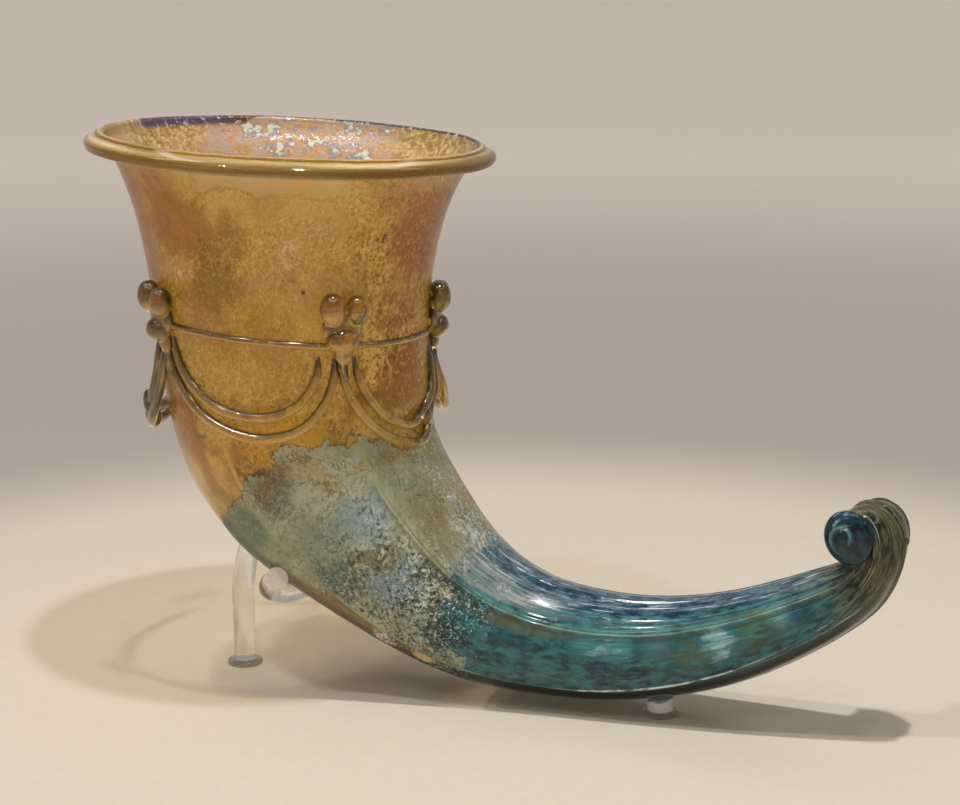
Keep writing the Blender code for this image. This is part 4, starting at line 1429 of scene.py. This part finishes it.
def trail_material(name, low, high, bright, coat):
    """The clean amber glass of the trails and the knobs, with painted shade where they meet the
    wall and on top, and painted light on their undersides, where light gathers in solid round
    glass."""
    s = Shader(name)
    cloud = s.noise(120, 3, 0.6, bend=1.2)
    height = s.sway(s.mark("rise"), cloud, 1.8)
    # Painted shade: the low colour where the glass is thin by the wall, the high colour where it
    # stands tall.
    colour = s.blend(s.ramp(height, *bright), low, high)
    colour = s.blend(s.ramp(cloud, 0.56, 0.64, 0.0, 0.6), colour, low)
    colour = s.blend(s.ramp(cloud, 0.44, 0.36, 0.0, 0.6), colour, (240, 210, 124))
    # Painted light on the undersides and painted shade on top.
    facing = s.sway(s.facing_up(), cloud, 0.8)
    lower = s.times(s.ramp(facing, 0.05, -0.50), s.ramp(height, 0.5, 1.4))
    colour = s.blend(lower, colour, (255, 220, 104), 0.85)
    colour = s.blend(s.ramp(facing, 0.35, 0.85, 0.0, 0.75), colour, low)
    colour = s.spots(colour, DARK_ENDS, 3.0, cloud, 10.0)
    return s.finish(colour, 0.05, 0.8, cloud, 0.6, AMBER_PASS, coat, 0.2)


def clear_material():
    """Clear acrylic with faint scuffs."""
    s = Shader("clear_rod")
    scuff = s.ramp(s.noise(500, 3, 0.7), 0.52, 0.7)
    colour = s.blend(scuff, (250, 251, 251), (244, 243, 240))
    return s.finish(colour, s.plus(0.01, s.times(scuff, 0.06)), 1.0, scuff, 0.02, (246, 245, 243))


def frosted_material():
    """The sawn end of the clear rod, matt and nearly white."""
    s = Shader("frosted_end")
    grain = s.noise(900, 3, 0.7)
    colour = s.blend(grain, (236, 226, 220), (252, 246, 240))
    return s.finish(colour, 0.6, 0.1, grain, 0.05, (220, 216, 210))


def floor_material():
    """A pale shelf, warm grey further off, and paler again far away, where the lamps don't
    reach and it glows a little by itself."""
    s = Shader("floor_paint")
    away = s.gap((0.0, 0.0, 0.0))
    grain = s.noise(220, 3, 0.6)
    near = s.blend(grain, (208, 197, 178), (217, 206, 189))
    far = s.blend(s.ramp(away, 0.2, 2.0), (172, 163, 155), (246, 236, 228))
    colour = s.blend(s.ramp(away, 0.27, 0.42), near, far)
    return s.dress({
        "Base Color": colour, "Roughness": 0.7, "Emission Color": (176, 166, 157),
        "Emission Strength": s.ramp(away, 0.5, 2.2, 0.0, 0.33),
    })


# The studio's lamps: where each hangs in metres, its power in watts and its width.
LAMPS = (
    ("right_lamp", (0.12, -0.18, 1.18), 8.0, 0.05),
    ("left_lamp", (-0.33, -0.42, 1.18), 3.4, 0.07),
)
FLOOR_HALF = 16000
# The air round the studio, from level to straight up: light at eye height, darker above, with a
# bright strip that draws thin lines of light along the glass.
AIR = ((0.0, 108), (0.35, 92), (0.74, 66), (0.77, 255), (0.80, 255), (0.83, 62), (1.0, 56))
AIR_GREEN, AIR_BLUE = 0.97, 0.94
AIR_STRENGTH = 2.6
LAMPS_AIM = (0.0, 0.0, 0.08)


def make_studio():
    """A plain pale floor and soft lights."""
    mesh = bpy.data.meshes.new("studio_floor")
    half = FLOOR_HALF * MM
    corners = [(-half, -half, 0), (half, -half, 0), (half, half, 0), (-half, half, 0)]
    mesh.from_pydata(corners, [], [(0, 1, 2, 3)])
    floor = new_object("studio_floor", mesh, [floor_material()])
    aim = Vector(LAMPS_AIM)
    for name, place, power, size in LAMPS:
        lamp = bpy.data.lights.new(name, "AREA")
        lamp.shape = "DISK"
        lamp.size = size
        lamp.energy = power
        item = new_object(name, lamp)
        item.location = place
        item.rotation_euler = (aim - Vector(place)).to_track_quat("-Z", "Y").to_euler()
    world = bpy.data.worlds.new("studio_air")
    air = Nodes(world)
    height = air.split(air.add("TexCoord").outputs["Generated"])[2]
    stops = [(level, (grey, grey * AIR_GREEN, grey * AIR_BLUE)) for level, grey in AIR]
    background = air.tree.nodes["Background"].inputs
    air.put(background["Color"], air.colours(height, stops))
    air.put(background["Strength"], AIR_STRENGTH)
    bpy.context.scene.world = world
    bpy.context.scene.view_settings.view_transform = "Standard"


def make_camera():
    camera = bpy.data.cameras.new("photo_view")
    camera.sensor_fit = "HORIZONTAL"
    camera.sensor_width = SENSOR
    camera.lens = FOCAL_PIXELS / IMAGE_WIDTH * SENSOR
    camera.clip_start = 0.01
    camera.clip_end = 50
    item = new_object("photo_view", camera)
    level = VIEW_DISTANCE * math.cos(VIEW_ELEVATION)
    target = Vector(VIEW_TARGET) * MM
    away = Vector((
        level * math.sin(VIEW_AZIMUTH),
        -level * math.cos(VIEW_AZIMUTH),
        VIEW_DISTANCE * math.sin(VIEW_ELEVATION),
    )) * MM
    item.location = target + away
    item.rotation_euler = (-away).to_track_quat("-Z", "Y").to_euler()
    bpy.context.scene.camera = item


make_camera()
make_studio()

horn = make_horn()
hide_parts("horn")
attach(horn, "root")

clear, frosted = clear_material(), frosted_material()
for piece_name, node, mesh, sharp in (
    ("clear_cradle_rod", "cradle_rod", rod_mesh("clear_cradle_rod", cradle_way()), 50),
    ("clear_cradle_foot", "cradle_foot",
     disc_mesh("clear_cradle_foot", CRADLE_X, CRADLE_Y, FOOT_HALF), 30),
    ("clear_tail_peg", "tail_peg", peg_mesh(), 40),
    ("clear_tail_foot", "tail_peg_foot",
     disc_mesh("clear_tail_foot", PEG_X, PEG_Y, PEG_FOOT_HALF), 30),
):
    smooth_shaded(mesh, sharp)
    piece = new_object(piece_name, mesh, [clear])
    if node == "cradle_rod":
        mesh.materials.append(frosted)
        for face in mesh.polygons[-ROD_SIDES:]:
            face.material_index = 1
    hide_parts(node)
    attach(piece, "root")
